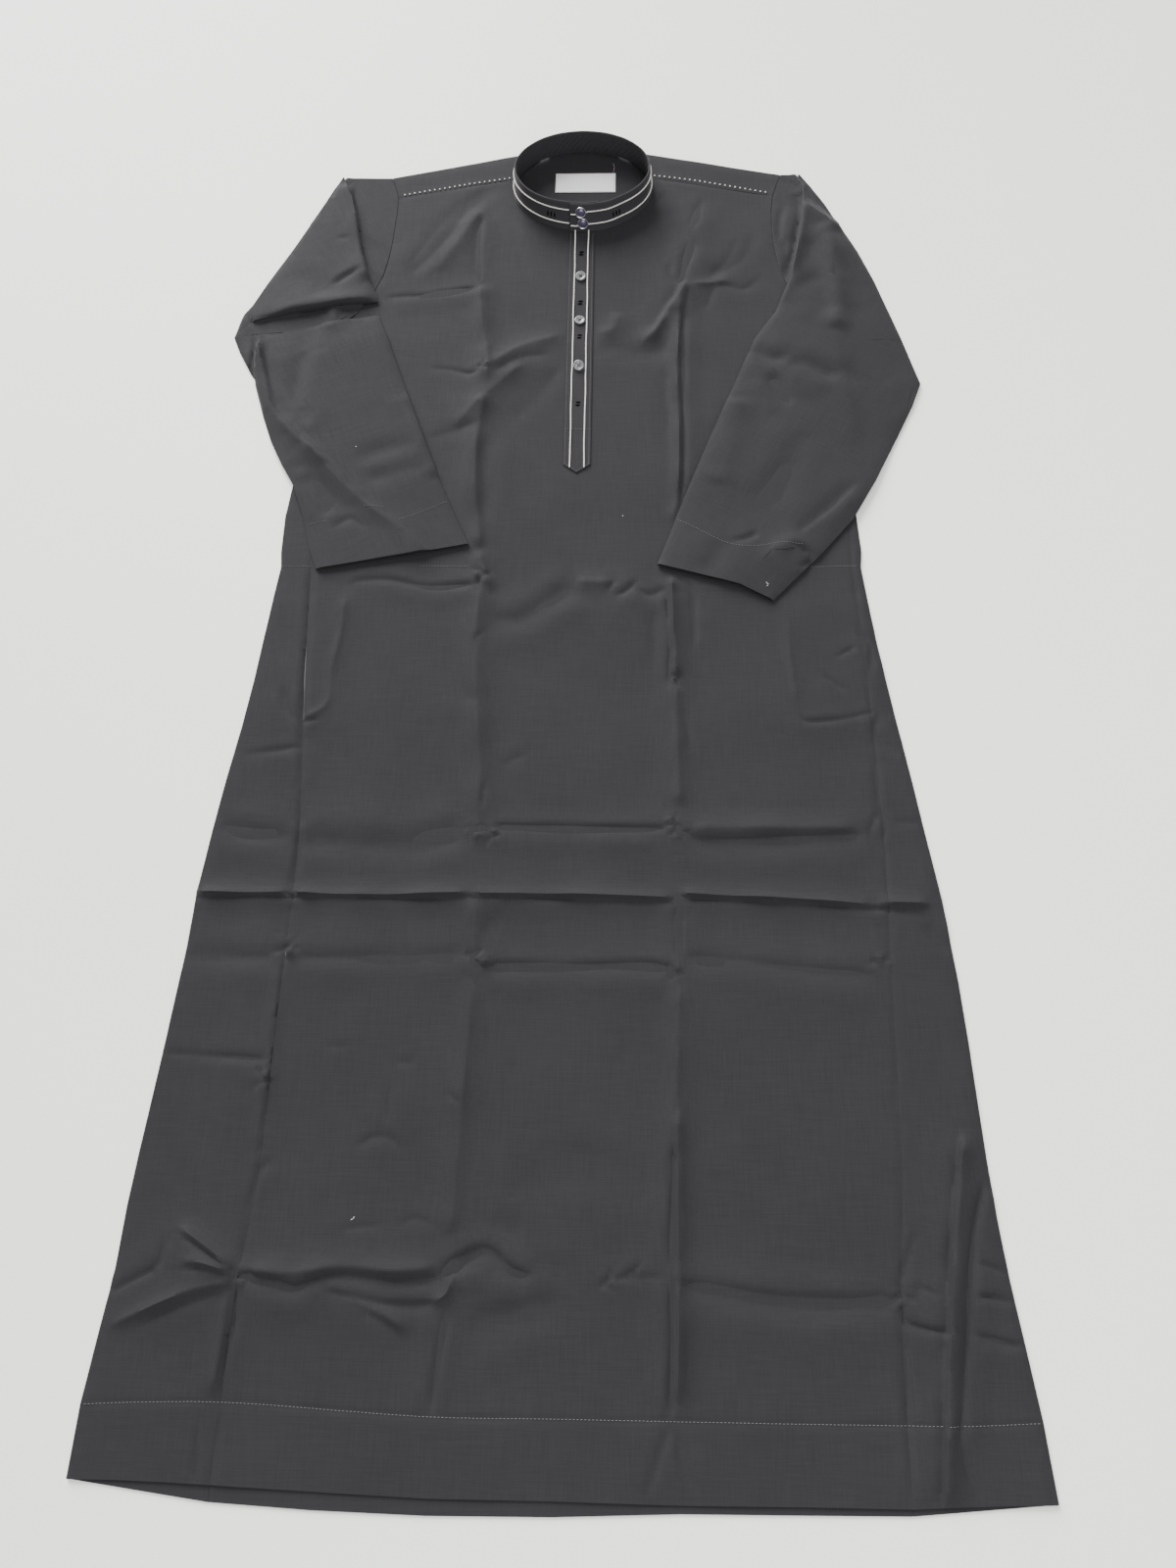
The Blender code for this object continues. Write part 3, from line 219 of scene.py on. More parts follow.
# Along a thread: share of its length from the middle, share of its thickness, and rise in thicknesses
STITCH_RINGS = [
    (-0.5, 0.25, -0.30), (-0.32, 0.80, 0.35), (0.0, 1.0, 0.62), (0.32, 0.80, 0.35), (0.5, 0.25, -0.30),
]
Stitch = namedtuple("Stitch", "length gap width")
HEM_STITCH = Stitch(0.0021, 0.0010, 0.0005)
PLACKET_STITCH = Stitch(0.0021, 0.0009, 0.0004)
LOOSE_STITCH = Stitch(0.0018, 0.0002, 0.0006)
LABEL_STITCH = Stitch(0.0016, 0.0004, 0.0005)
LABEL_THREAD_STITCH = 0.0030
SADDLE_WIDTH = 0.0015
SADDLE_LINES = [[(-89, 1395), (-137, 1386), (-222, 1368)], [(86, 1397), (139, 1388), (226, 1368)]]
HEM_LINE = [(-382, 53), (-338, 55), (-259, 56), (-106, 49), (0, 49), (187, 49), (323, 50), (388, 53)]
WAIST_LINES = [[(-309, 842), (-276, 842)], [(-163, 843), (-112, 842)], [(247, 842), (296, 843)]]
LEFT_CUFF_LINES = [
    [(-286, 892), (-266, 896)], [(-226, 912), (-206, 912)], [(-188, 896), (-165, 907), (-139, 921)],
]
RIGHT_CUFF_LINE = [(109, 898), (135, 882), (160, 868), (185, 863), (215, 866), (240, 865)]
LOOSE_THREADS = [  # specks of white thread that lie on the cloth
    [(50, 906), (51, 905)], [(-177, 196), (-175, 197), (-174, 199)],
    [(-243, 992), (-242, 991)], [(199, 820), (201, 818), (200, 815)],
]
NECK_STITCHES = 64
NECK_STITCH_SHARE = 0.72  # of the way from one to the next
NECK_STITCH_WIDTH = 0.0006
NECK_FOOT_INSET = 0.0042  # from the collar's lining
ARMHOLE_THREAD_RADIUS = 0.0007
ARMHOLE_THREAD_PITCH = 0.004
ARMHOLE_THREAD_LEVEL = 0.0013  # of its middle, down in the seam
ARMHOLE_THREAD_STEP = 0.002
ARMHOLES = {  # the seams between the sleeves and the body, where they are seen
    "left": [
        (-258.6, 1185), (-242.6, 1216), (-233.6, 1241), (-228.6, 1271), (-226.6, 1294), (-225.6, 1318),
        (-224.6, 1341), (-224.6, 1364), (-228.7, 1382), (-231.1, 1389), (-234, 1397),
    ],
    "right": [
        (262.5, 1185), (242.5, 1216), (234.5, 1241), (229.5, 1271), (227.5, 1294), (226.5, 1318),
        (227, 1341), (229.5, 1364), (234.6, 1382), (236.8, 1389), (240, 1397),
    ],
}

# Fastenings and label
BUTTON_UPS = (1235, 1170, 1103)
BUTTON_TILTS = (radians(11), radians(0), radians(24))  # how far each leans on its thread towards the hem
BUTTON_RADIUS = 0.0060
BUTTON_THICK = 0.0024
BUTTON_SEAT = 0.0045  # height of a button's base when it lies level
BUTTON_SIDES = 64
BUTTON_HOLE_RADIUS = 0.0008
BUTTON_HOLE_OFFSET = 0.0013
BUTTON_HOLE_SIDES = 20
BUTTON_THREAD_WIDTH = 0.0007
BUTTON_THREAD_RISE = 0.60  # of the button's thickness
BUTTON_SHANK_RISE = 0.0002  # of its thread, into the button
# Shares of radius and thickness, from the middle of the base out and over to the middle
BUTTON_PROFILE = [
    (0.0, 0.0), (0.70, 0.0), (0.86, 0.10), (0.96, 0.30), (1.0, 0.52), (0.985, 0.74), (0.94, 0.90),
    (0.87, 0.99), (0.79, 0.99), (0.71, 0.88), (0.64, 0.72), (0.56, 0.62), (0.40, 0.58), (0.0, 0.56),
]
SNAP_RADIUS = 0.0064
SNAP_HEIGHT = 0.0032
SNAP_SEAT = 0.0003  # from the collar's face out to the snap's base
SNAP_SIDES = 48
SNAPS = {"upper": (-0.0010, 0.0260), "lower": (0.0015, 0.0135)}  # across and height of each
SNAP_RIM_PROFILE = [
    (0.79, 0.0), (1.0, 0.0), (1.0, 0.40), (0.975, 0.62), (0.92, 0.74), (0.85, 0.70), (0.80, 0.52),
]
SNAP_DOME_PROFILE = [
    (0.0, 0.0), (0.79, 0.0), (0.80, 0.50), (0.74, 0.72), (0.58, 0.90), (0.34, 1.0), (0.0, 1.03),
]
LABEL_AT = (3.0, 1387.5)
LABEL_SIZE = (73.0, 31.0)
LABEL_SPACING = 3.0
LABEL_SHARE = 0.5  # of the front's unevenness
LABEL_INSET = 0.6  # of its stitches from its edges, in mm
LABEL_RIGHT_INSET = 1.6  # of those down its right side
LABEL_CORNER_INSET = 1.0  # of the ends of the stitches down its sides
LABEL_THREAD = [(37, 1406), (38, 1413), (37, 1419)]  # the loose end above the label

# Cloth and thread
Weave = namedtuple("Weave", "spacing turn slub roughness sheen bump")
LINING_WEAVE = Weave(0.0011, radians(38), 0.5, 0.7, 0.05, 0.4)
POCKETING_WEAVE = Weave(0.0008, 0.0, 0.3, 0.8, 0.05, 0.5)
LABEL_WEAVE = Weave(0.0005, 0.0, 0.15, 0.7, 0.0, 0.4)
CLOTH_BUMP = 0.10
WAVE_BAND = 2 * pi / 20  # from band to band of a wave texture whose scale is 1
THREAD_DISTORTION = 0.4
THREAD_HEIGHT = 0.3  # of a thread, in the weave's spacings
SLUB_SCALE = 1100.0
SLUB_STRETCH = 0.03
SLUB_ROUGHNESS = -0.4  # what a slub adds to the roughness, against the shade
CLOUD_SCALE = 9.0
CLOUD_SWING = 0.16
MOTTLE_ROUGHNESS = -0.5  # what a lighter spot adds to the roughness, against the shade
SHEEN_ROUGHNESS = 0.4
CLOTH_SPECULAR = 0.06
THREAD_SPECULAR = 0.08
THREAD_ROUGHNESS = 0.85
BAND_PAINTED_LIGHT = 1.55  # the collar's outside against the other cloth: painted light, the same cloth made lighter because its upright face gets little light
LINING_PAINTED_LIGHT = 1.8  # its lining against the cloth: painted light, the cloth's colour made lighter because it lies in the collar's shade
POCKETING_COLOR = (0.075, 0.075, 0.078)
DARK_THREAD_COLOR = (0.03, 0.03, 0.032)  # of the neck's and the armholes' seams

# Creases: height in mm (a trough's is negative), half widths in mm on the left and on the right of the line
# as its points run, and a few places along it in mm
Crease = namedtuple("Crease", "height left right points")
PRESS_FOLDS = [
    # The left one, from the neck down
    Crease(-1.2, 4, 9, [(-120, 1336), (-123, 1280), (-118, 1228)]),
    Crease(1.2, 9, 4, [(-118, 1225), (-114, 1170), (-105, 1126)]),
    Crease(1.2, 6, 8, [(-106, 1140), (-103, 1105), (-104, 1080)]),
    Crease(1.4, 5, 9, [(-103, 1066), (-109, 1020), (-110, 950), (-103, 895), (-100, 862)]),
    Crease(-0.8, 4, 6, [(-118, 1012), (-114, 970), (-108, 922)]),
    Crease(-0.8, 9, 10, [(-97, 1012), (-101, 970), (-94, 900)]),
    Crease(1.2, 6, 8, [(-101, 864), (-94, 836), (-84, 810)]),
    Crease(1.0, 8, 5, [(-97, 818), (-100, 760), (-95, 680), (-88, 610), (-88, 556)]),
    Crease(-0.7, 5, 6, [(-82, 600), (-85, 562)]),
    Crease(0.8, 5, 8, [(-86, 478), (-82, 450), (-84, 432)]),
    Crease(0.9, 5, 9, [(-83, 404), (-86, 340), (-88, 260), (-91, 185)]),
    Crease(-2.0, 3, 5, [(-90, 128), (-97, 80), (-98, 52)]),
    # The right one
    Crease(-0.9, 7, 7, [(145, 1360), (138, 1336), (132, 1308)]),
    Crease(-1.7, 7, 7, [(134, 1292), (124, 1260), (112, 1215), (95, 1183), (82, 1156)]),
    Crease(-1.0, 7, 7, [(105, 1260), (106, 1236), (114, 1219)]),
    Crease(1.7, 7, 6, [(124, 1228), (111, 1199), (96, 1174), (83, 1138)]),
    Crease(-1.0, 5, 5, [(126, 1222), (123, 1195), (120, 1175)]),
    Crease(1.3, 3, 8, [(116, 1200), (113, 1145), (111, 1095), (112, 1030), (111, 960), (107, 893)]),
    Crease(-2.3, 4, 3, [(121, 1182), (118, 1150), (117, 1100), (117, 1040), (116, 988), (113, 906)]),
    Crease(-0.8, 7, 8, [(98, 1100), (102, 1010), (105, 911)]),
    Crease(1.8, 5, 4, [(102, 832), (103, 770), (105, 708)]),
    Crease(-1.6, 3, 5, [(98, 700), (99, 755), (96, 812)]),
    Crease(1.1, 6, 7, [(106, 708), (104, 650), (107, 572)]),
    Crease(-0.8, 6, 5, [(98, 690), (99, 640), (104, 598)]),
    Crease(-0.9, 6, 6, [(109, 680), (116, 656), (120, 630)]),
    Crease(-0.8, 4, 6, [(126, 812), (124, 745)]),
    Crease(-0.7, 8, 6, [(82, 790), (83, 722)]),
    Crease(-1.0, 4, 5, [(105, 479), (103, 420)]),
    Crease(1.0, 6, 4, [(104, 400), (101, 330), (97, 250)]),
    Crease(-2.3, 3, 4, [(99, 300), (98, 251), (95, 161)]),
    Crease(-2.6, 3, 4, [(95, 155), (95, 100), (93, 50)]),
    Crease(1.3, 6, 3, [(101, 290), (101, 220), (100, 110), (98, 62)]),
]
CHEST_FOLDS = [
    Crease(-1.0, 8, 8, [(-110, 1378), (-140, 1345), (-160, 1300), (-201, 1241)]),
    Crease(0.7, 8, 8, [(-119, 1345), (-145, 1295), (-172, 1245)]),
    Crease(-0.6, 8, 8, [(-143, 1365), (-175, 1310), (-208, 1250)]),
    Crease(-1.0, 3, 6, [(-230, 1207), (-205, 1210), (-180, 1210), (-150, 1216), (-120, 1221)]),
    Crease(-0.6, 3, 3, [(-243, 1216), (-235, 1233)]),
    Crease(-0.9, 3, 5, [(-172, 1105), (-145, 1102), (-124, 1096), (-109, 1100)]),
    Crease(0.9, 7, 8, [(-101, 1104), (-75, 1127), (-50, 1139), (-19, 1151)]),
    Crease(-0.7, 6, 7, [(-97, 1096), (-68, 1116), (-32, 1123)]),
    Crease(0.7, 7, 6, [(-137, 1022), (-110, 1056), (-86, 1084), (-62, 1109)]),
    Crease(-0.6, 8, 8, [(-75, 1027), (-45, 1064), (-18, 1108)]),
    Crease(-0.8, 6, 8, [(-165, 1008), (-135, 1018), (-108, 1029)]),
    Crease(-0.9, 8, 10, [(19, 1135), (45, 1129), (71, 1122), (101, 1131)]),
    Crease(0.8, 8, 8, [(19, 1153), (38, 1158), (45, 1185)]),
    Crease(1.0, 5, 8, [(102, 1178), (86, 1152), (69, 1134)]),
    Crease(0.8, 6, 4, [(127, 1223), (145, 1223), (175, 1229)]),
    Crease(-1.0, 5, 7, [(152, 1223), (170, 1222), (192, 1218), (208, 1235)]),
    Crease(-0.6, 6, 6, [(159, 1229), (152, 1210), (146, 1186)]),
    Crease(-0.6, 8, 8, [(203, 1302), (190, 1263), (149, 1233)]),
    Crease(-0.5, 7, 7, [(186, 1298), (172, 1262), (147, 1231)]),
    Crease(-0.6, 7, 7, [(65, 1352), (84, 1352), (101, 1368)]),
    Crease(-0.6, 6, 8, [(-84, 1352), (-70, 1322), (-46, 1306)]),
]
WAIST_FOLDS = [
    Crease(-1.4, 4, 6, [(-235, 819), (-225, 825), (-193, 826), (-150, 817), (-99, 821)]),
    Crease(-1.7, 9, 11, [(-87, 780), (-55, 779), (-30, 796), (1, 819)]),
    Crease(1.4, 7, 8, [(0, 824), (22, 822), (42, 823)]),
    Crease(-1.1, 4, 4, [(35, 812), (43, 825)]),
    Crease(-1.3, 5, 5, [(42, 806), (54, 812), (66, 825)]),
    Crease(-1.4, 4, 6, [(63, 819), (78, 808), (99, 818)]),
    Crease(-1.3, 4, 5, [(104, 832), (120, 820), (127, 797)]),
    Crease(-1.0, 8, 10, [(-130, 745), (-115, 706), (-94, 680)]),
    Crease(-0.8, 4, 4, [(-89, 765), (-99, 754), (-99, 735)]),
    Crease(-0.7, 6, 6, [(-69, 614), (-42, 629)]),
    # The pocket bags beneath
    Crease(0.6, 4, 3, [(-238, 808), (-239, 765), (-244, 720), (-245, 682), (-268, 663)]),
    Crease(-0.9, 3, 3, [(-268, 661), (-252, 664)]),
    Crease(-1.2, 3, 4, [(224, 673), (235, 664), (270, 667), (302, 675)]),
    Crease(-1.6, 6, 5, [(303, 674), (302, 650), (322, 626)]),
    Crease(0.5, 4, 3, [(220, 784), (220, 740), (225, 684)]),
    Crease(-0.9, 3, 3, [(266, 735), (288, 748)]),
    Crease(-0.9, 4, 4, [(254, 716), (272, 697)]),
]
CROSS_FOLDS = [
    # Above the middle
    Crease(-1.4, 9, 8, [(-338, 555), (-312, 542), (-261, 539)]),
    Crease(-1.5, 12, 10, [(-256, 537), (-200, 533), (-145, 532), (-96, 545)]),
    Crease(-2.0, 3, 7, [(-74, 553), (-30, 552), (30, 551), (96, 551)]),
    Crease(-1.9, 5, 12, [(107, 554), (122, 541), (160, 540), (220, 543), (284, 547)]),
    Crease(0.9, 8, 6, [(117, 551), (195, 552), (275, 552)]),
    Crease(-0.8, 4, 5, [(310, 560), (338, 558)]),
    # The middle one, the sharpest
    Crease(1.5, 5, 2, [(-353, 484), (-302, 483), (-259, 484)]),
    Crease(1.6, 5, 2, [(-259, 484), (-200, 482), (-145, 483), (-90, 485)]),
    Crease(1.6, 5, 2, [(-93, 484), (0, 484), (104, 482)]),
    Crease(1.6, 5, 2, [(103, 486), (150, 484), (220, 481), (287, 477)]),
    Crease(1.4, 5, 2, [(288, 477), (306, 479), (339, 478)]),
    Crease(-1.1, 3, 3, [(-353, 480), (-259, 480), (-145, 479), (-90, 481), (0, 480), (104, 478)]),
    Crease(-1.1, 3, 3, [(104, 481), (150, 480), (220, 477), (287, 473), (339, 474)]),
    Crease(-1.3, 5, 7, [(302, 473), (336, 468)]),
    Crease(-1.3, 8, 8, [(332, 460), (352, 430)]),
    Crease(-1.1, 10, 12, [(-77, 456), (-58, 454)]),
    Crease(-0.9, 8, 9, [(113, 481), (114, 469), (105, 456)]),
    # Below the middle
    Crease(-1.1, 8, 8, [(-355, 423), (-306, 422), (-265, 421)]),
    Crease(-1.0, 7, 8, [(-250, 422), (-180, 423), (-93, 427)]),
    Crease(-1.9, 4, 8, [(-78, 408), (-60, 416), (0, 416), (80, 418), (106, 404)]),
    Crease(-1.1, 6, 9, [(108, 427), (165, 423), (214, 416), (288, 411)]),
    # Between the middle and the hem
    Crease(-1.3, 4, 5, [(-356, 334), (-317, 332), (-262, 329)]),
    Crease(-0.7, 5, 5, [(-215, 342), (-192, 341)]),
    Crease(-0.7, 5, 5, [(-149, 329), (-133, 328)]),
    # Above the hem, left
    Crease(1.1, 4, 4, [(-271, 157), (-301, 176), (-326, 191)]),
    Crease(-1.2, 3, 3, [(-271, 153), (-301, 171), (-326, 186)]),
    Crease(1.5, 4, 4, [(-271, 153), (-296, 160), (-319, 163)]),
    Crease(-1.5, 3, 4, [(-272, 150), (-296, 155), (-316, 155)]),
    Crease(-1.5, 4, 5, [(-334, 178), (-336, 158), (-356, 146), (-378, 134)]),
    Crease(1.2, 3, 5, [(-270, 146), (-311, 137), (-372, 110)]),
    Crease(-1.1, 5, 6, [(-276, 138), (-311, 128), (-350, 110)]),
    Crease(
        -2.6, 3, 7,
        [(-266, 150), (-240, 148), (-219, 143), (-203, 150), (-182, 153), (-130, 150), (-97, 152)],
    ),
    Crease(1.2, 7, 4, [(-262, 156), (-220, 154), (-182, 160), (-140, 157), (-100, 160)]),
    Crease(-3.0, 4, 9, [(-97, 152), (-88, 163), (-61, 175), (-39, 160), (-20, 154)]),
    Crease(-1.6, 4, 7, [(-199, 142), (-174, 137), (-144, 132), (-120, 131), (-96, 133)]),
    Crease(0.9, 4, 4, [(-180, 136), (-143, 124), (-121, 110)]),
    Crease(-0.8, 4, 5, [(-165, 127), (-143, 117), (-125, 104)]),
    Crease(1.4, 4, 5, [(-106, 132), (-92, 140), (-86, 158)]),
    Crease(-1.6, 10, 12, [(-73, 112), (-38, 124), (4, 135)]),
    # Above the hem, right
    Crease(-0.9, 4, 5, [(40, 150), (64, 156), (94, 154)]),
    Crease(-2.2, 5, 11, [(98, 151), (130, 148), (181, 141), (237, 140), (279, 143)]),
    Crease(-1.9, 3, 4, [(300, 194), (290, 169), (283, 149)]),
    Crease(-1.9, 3, 4, [(281, 140), (286, 125), (301, 120), (324, 117)]),
    Crease(-1.4, 3, 4, [(283, 112), (284, 79), (281, 46)]),
]
SKIRT_FOLDS = [
    # Side seams, all along and where they pucker
    Crease(
        -0.5, 3, 3,
        [(-304, 985), (-286, 890), (-278, 842), (-269, 680), (-259, 550), (-259, 400), (-262, 210)],
    ),
    Crease(-0.9, 3, 3, [(-262, 237), (-264, 202), (-267, 155)]),
    Crease(-1.9, 3, 4, [(-268, 150), (-266, 117), (-270, 88), (-268, 53)]),
    Crease(1.2, 4, 5, [(-275, 140), (-276, 100), (-279, 60)]),
    Crease(-1.1, 4, 3, [(-269, 53), (-270, 20), (-271, -6)]),
    Crease(-0.9, 3, 3, [(-286, 50), (-284, 20), (-283, -4)]),
    Crease(-0.5, 3, 3, [(291, 950), (290, 842), (297, 680), (300, 550), (296, 380), (290, 210), (284, 155)]),
    Crease(-0.6, 3, 3, [(284, 155), (281, 55), (280, -6)]),
    Crease(-1.3, 4, 4, [(-277, 836), (-273, 760), (-269, 666), (-261, 592)]),
    Crease(-1.2, 4, 4, [(-261, 592), (-257, 530), (-259, 489)]),
    Crease(1.0, 4, 7, [(-262, 416), (-262, 338), (-264, 250)]),
    Crease(-1.0, 3, 5, [(-325, 626), (-263, 635)]),
    Crease(-0.9, 6, 6, [(-292, 701), (-283, 672), (-271, 660)]),
    Crease(-1.0, 8, 5, [(289, 765), (302, 750), (299, 712)]),
    Crease(-1.2, 4, 4, [(296, 622), (298, 569)]),
    Crease(-1.4, 3, 4, [(298, 570), (288, 548), (301, 525)]),
    Crease(-1.2, 4, 3, [(299, 569), (302, 554), (300, 539)]),
    # Small marks of the front
    Crease(-0.7, 5, 5, [(-153, 310), (-151, 274)]),
    Crease(-0.7, 4, 4, [(-101, 303), (-90, 292)]),
    Crease(-0.9, 5, 5, [(-181, 255), (-156, 265), (-136, 253)]),
    Crease(-0.8, 5, 5, [(-250, 245), (-262, 231)]),
    Crease(-0.7, 4, 4, [(-184, 188), (-147, 193)]),
    Crease(-0.7, 4, 4, [(-138, 190), (-122, 198), (-105, 191)]),
    Crease(-1.1, 14, 16, [(-44, 211), (-15, 236), (20, 242), (50, 234), (75, 216)]),
    Crease(-1.0, 10, 10, [(-60, 195), (-28, 189)]),
    Crease(-0.7, 9, 9, [(-21, 169), (7, 154)]),
    # The right gore
    Crease(1.7, 7, 4, [(347, 275), (333, 202), (322, 128), (312, 57), (306, -6)]),
    Crease(-1.8, 3, 5, [(343, 275), (329, 202), (318, 128), (308, 57), (302, -6)]),
    Crease(-2.1, 5, 4, [(361, 236), (348, 195), (339, 152), (334, 116), (326, 69), (319, 34)]),
    Crease(-1.6, 5, 5, [(319, 36), (325, 18), (334, -3)]),
    Crease(-1.6, 3, 5, [(336, 118), (358, 112), (381, 107)]),
    Crease(-1.3, 3, 4, [(343, 145), (358, 144), (376, 140)]),
    Crease(-1.1, 3, 4, [(346, 172), (374, 162)]),
    Crease(-1.1, 3, 4, [(296, 152), (316, 144)]),
    # Fans at the hem, below the press fold
    Crease(-1.9, 3, 6, [(92, 46), (84, 20), (73, -5)]),
    Crease(-1.7, 6, 3, [(95, 46), (102, 20), (111, -3)]),
    # Drawn in by the hem's stitches, and by the yokes' seams
    Crease(-0.5, 2, 3, HEM_LINE),
    Crease(-0.5, 2, 2, [(-87, 1393), (-150, 1380), (-232, 1363)]),
    Crease(-0.5, 2, 2, [(87, 1393), (150, 1380), (238, 1363)]),
]
# Knots, where folds cross: place and size in mm, and the first one's direction in degrees
Knot = namedtuple("Knot", "across up size turn")
KNOTS = [
    Knot(-90, 546, 13, 20), Knot(-74, 543, 11, 130), Knot(100, 556, 12, 200), Knot(105, 547, 11, 330),
    Knot(-84, 424, 12, 40), Knot(-76, 416, 9, 150), Knot(100, 412, 10, 120), Knot(-260, 428, 14, 60),
    Knot(-254, 434, 10, 200), Knot(-97, 830, 13, 250), Knot(-108, 1105, 9, 80), Knot(-268, 150, 15, 10),
    Knot(284, 144, 13, 340), Knot(-266, 312, 12, 115), Knot(42, 150, 11, 75), Knot(64, 158, 9, 60),
    Knot(105, 710, 10, 280), Knot(288, 423, 12, 170),
]
# Each crease of a knot: its turn from the first in degrees, share of the knot's size, and height in mm
KNOT_ARMS = [(0, 1.0, -1.2), (118, 0.8, -1.0), (228, 0.9, -1.1), (290, 0.6, 0.8)]
LEFT_SLEEVE_CREASES = [
    # The upper arm over the head, its lower edge turned up
    Crease(1.6, 2, 12, [(-288, 1388), (-282, 1365), (-271, 1321), (-261, 1271), (-247, 1227)]),
    Crease(-1.2, 7, 2, [(-284, 1380), (-278, 1362), (-267, 1321), (-257, 1271), (-243, 1230)]),
    Crease(-1.6, 4, 7, [(-293, 1219), (-276, 1236), (-257, 1248)]),
    Crease(-0.8, 5, 5, [(-293, 1297), (-277, 1294)]),
    Crease(2.2, 12, 2, [(-380, 1170), (-331, 1185), (-271, 1195), (-238, 1201)]),
    Crease(-0.9, 12, 12, [(-330, 1250), (-310, 1225), (-300, 1200)]),
    # The elbow's flap
    Crease(-2.4, 2, 4, [(-392, 1188), (-374, 1153), (-371, 1096), (-353, 1036)]),
    # The long fold down the forearm, with a dent on each side of it
    Crease(-1.8, 9, 3, [(-366, 1140), (-350, 1085), (-335, 1040), (-300, 996)]),
    Crease(1.6, 2.5, 7, [(-370, 1144), (-354, 1088), (-340, 1045), (-303, 1001), (-270, 966)]),
    Crease(1.0, 3, 7, [(-300, 997), (-275, 969), (-251, 941), (-220, 912), (-190, 888), (-150, 852)]),
    Crease(-0.9, 10, 8, [(-318, 968), (-290, 962), (-266, 930), (-240, 905)]),
    Crease(-1.6, 10, 10, [(-300, 958), (-276, 930), (-262, 900)]),
    Crease(-1.0, 6, 6, [(-258, 886), (-240, 898), (-222, 884)]),
    Crease(-0.9, 10, 10, [(-244, 971), (-215, 986), (-174, 998)]),
    Crease(-0.9, 10, 10, [(-230, 945), (-198, 958), (-160, 966)]),
    Crease(-1.0, 9, 9, [(-318, 1128), (-316, 1070), (-300, 1020)]),
    Crease(1.2, 9, 9, [(-301, 1158), (-275, 1174), (-258, 1170)]),
    Crease(0.9, 12, 12, [(-190, 1070), (-170, 1010), (-150, 950)]),
]
RIGHT_SLEEVE_CREASES = [
    # The head, and the arm's edge beside it
    Crease(-2.0, 4, 4, [(243, 1389), (255, 1378), (262, 1362)]),
    Crease(-1.4, 5, 5, [(242, 1350), (236, 1320), (234, 1286)]),
    Crease(-0.8, 6, 6, [(240, 1300), (240, 1265), (239, 1232)]),
    Crease(-2.0, 2, 6, [(260, 1380), (261, 1340), (255, 1297), (242, 1235)]),
    Crease(0.9, 8, 2, [(264, 1382), (265, 1340), (259, 1297), (245, 1235), (226, 1190)]),
    Crease(1.6, 5, 8, [(262, 1344), (284, 1322), (309, 1299)]),
    Crease(-1.8, 8, 6, [(270, 1358), (290, 1336), (308, 1312)]),
    Crease(1.5, 11, 11, [(284, 1312), (298, 1270), (298, 1205), (290, 1150)]),
    Crease(-1.3, 12, 12, [(266, 1290), (274, 1250), (276, 1215)]),
    # Dents about the elbow
    Crease(-1.9, 13, 13, [(251, 1225), (276, 1213), (292, 1172)]),
    Crease(-2.8, 9, 9, [(194, 1130), (213, 1115), (236, 1108)]),
    Crease(-2.4, 9, 9, [(213, 1092), (224, 1066), (238, 1044)]),
    Crease(-1.9, 10, 10, [(236, 1108), (262, 1100), (292, 1082)]),
    Crease(-1.0, 13, 13, [(300, 1100), (325, 1082), (350, 1080)]),
    Crease(1.0, 14, 14, [(178, 1060), (168, 1000), (150, 940)]),
    # The forearm and the cuff
    Crease(-1.5, 4, 9, [(301, 944), (270, 911), (234, 879)]),
    Crease(0.6, 8, 8, [(306, 934), (282, 908), (262, 886)]),
    Crease(-1.3, 14, 14, [(250, 1010), (225, 960), (205, 915)]),
    Crease(-1.8, 5, 5, [(164, 871), (180, 873), (194, 881)]),
    Crease(1.4, 9, 9, [(206, 832), (214, 856), (240, 878)]),
    Crease(-2.2, 4, 5, [(228, 866), (246, 856), (247, 845), (233, 839)]),
    Crease(-1.3, 12, 12, [(132, 828), (148, 850), (156, 876)]),
]
# The underside keeps the press and cross folds as shallow grooves
UNDERSIDE_CREASES = [
    Crease(0.45, 4, 7, [(-96, 20), (-92, 300), (-98, 640), (-108, 980), (-112, 1330)]),
    Crease(0.45, 7, 4, [(94, 20), (101, 330), (104, 660), (112, 980), (118, 1320)]),
    Crease(0.45, 5, 8, [(-256, 552), (-90, 556), (60, 549), (285, 547)]),
    Crease(0.50, 4, 9, [(-256, 484), (-90, 481), (110, 485), (290, 478)]),
    Crease(0.45, 5, 8, [(-256, 420), (-70, 414), (100, 418), (290, 410)]),
    Crease(0.45, 5, 8, [(-262, 156), (-90, 160), (100, 152), (280, 143)]),
    Crease(0.35, 5, 6, [(-220, 905), (-60, 893), (90, 900), (250, 910)]),
]


def place(across, up, z=0.0):
    """A point of the frame from a place in millimetres."""
    return Vector((across * MM, up * MM - MID_LENGTH, z))


def places_of(points):
    """Places in millimetres from an array of points of the frame."""
    return np.column_stack([points[:, 0], points[:, 1] + MID_LENGTH]) / MM


def smooth(low, high, value):
    """0 at low, 1 at high and beyond it, with an even S between them."""
    share = np.clip((value - low) / (high - low), 0.0, 1.0)
    return share * share * (3 - 2 * share)


def curve_through(points):
    """A Catmull-Rom curve through points of any dimension, as an array."""
    p = np.array(points, float)
    p = np.vstack([2 * p[0] - p[1], p, 2 * p[-1] - p[-2]])
    out = []
    for a, b, c, d in zip(p, p[1:], p[2:], p[3:]):
        squared, cubed = 2 * a - 5 * b + 4 * c - d, 3 * b - a - 3 * c + d
        for t in np.arange(CURVE_STEPS) / CURVE_STEPS:
            out.append(0.5 * (2 * b + (c - a) * t + squared * t**2 + cubed * t**3))
    out.append(p[-2])
    return np.array(out)


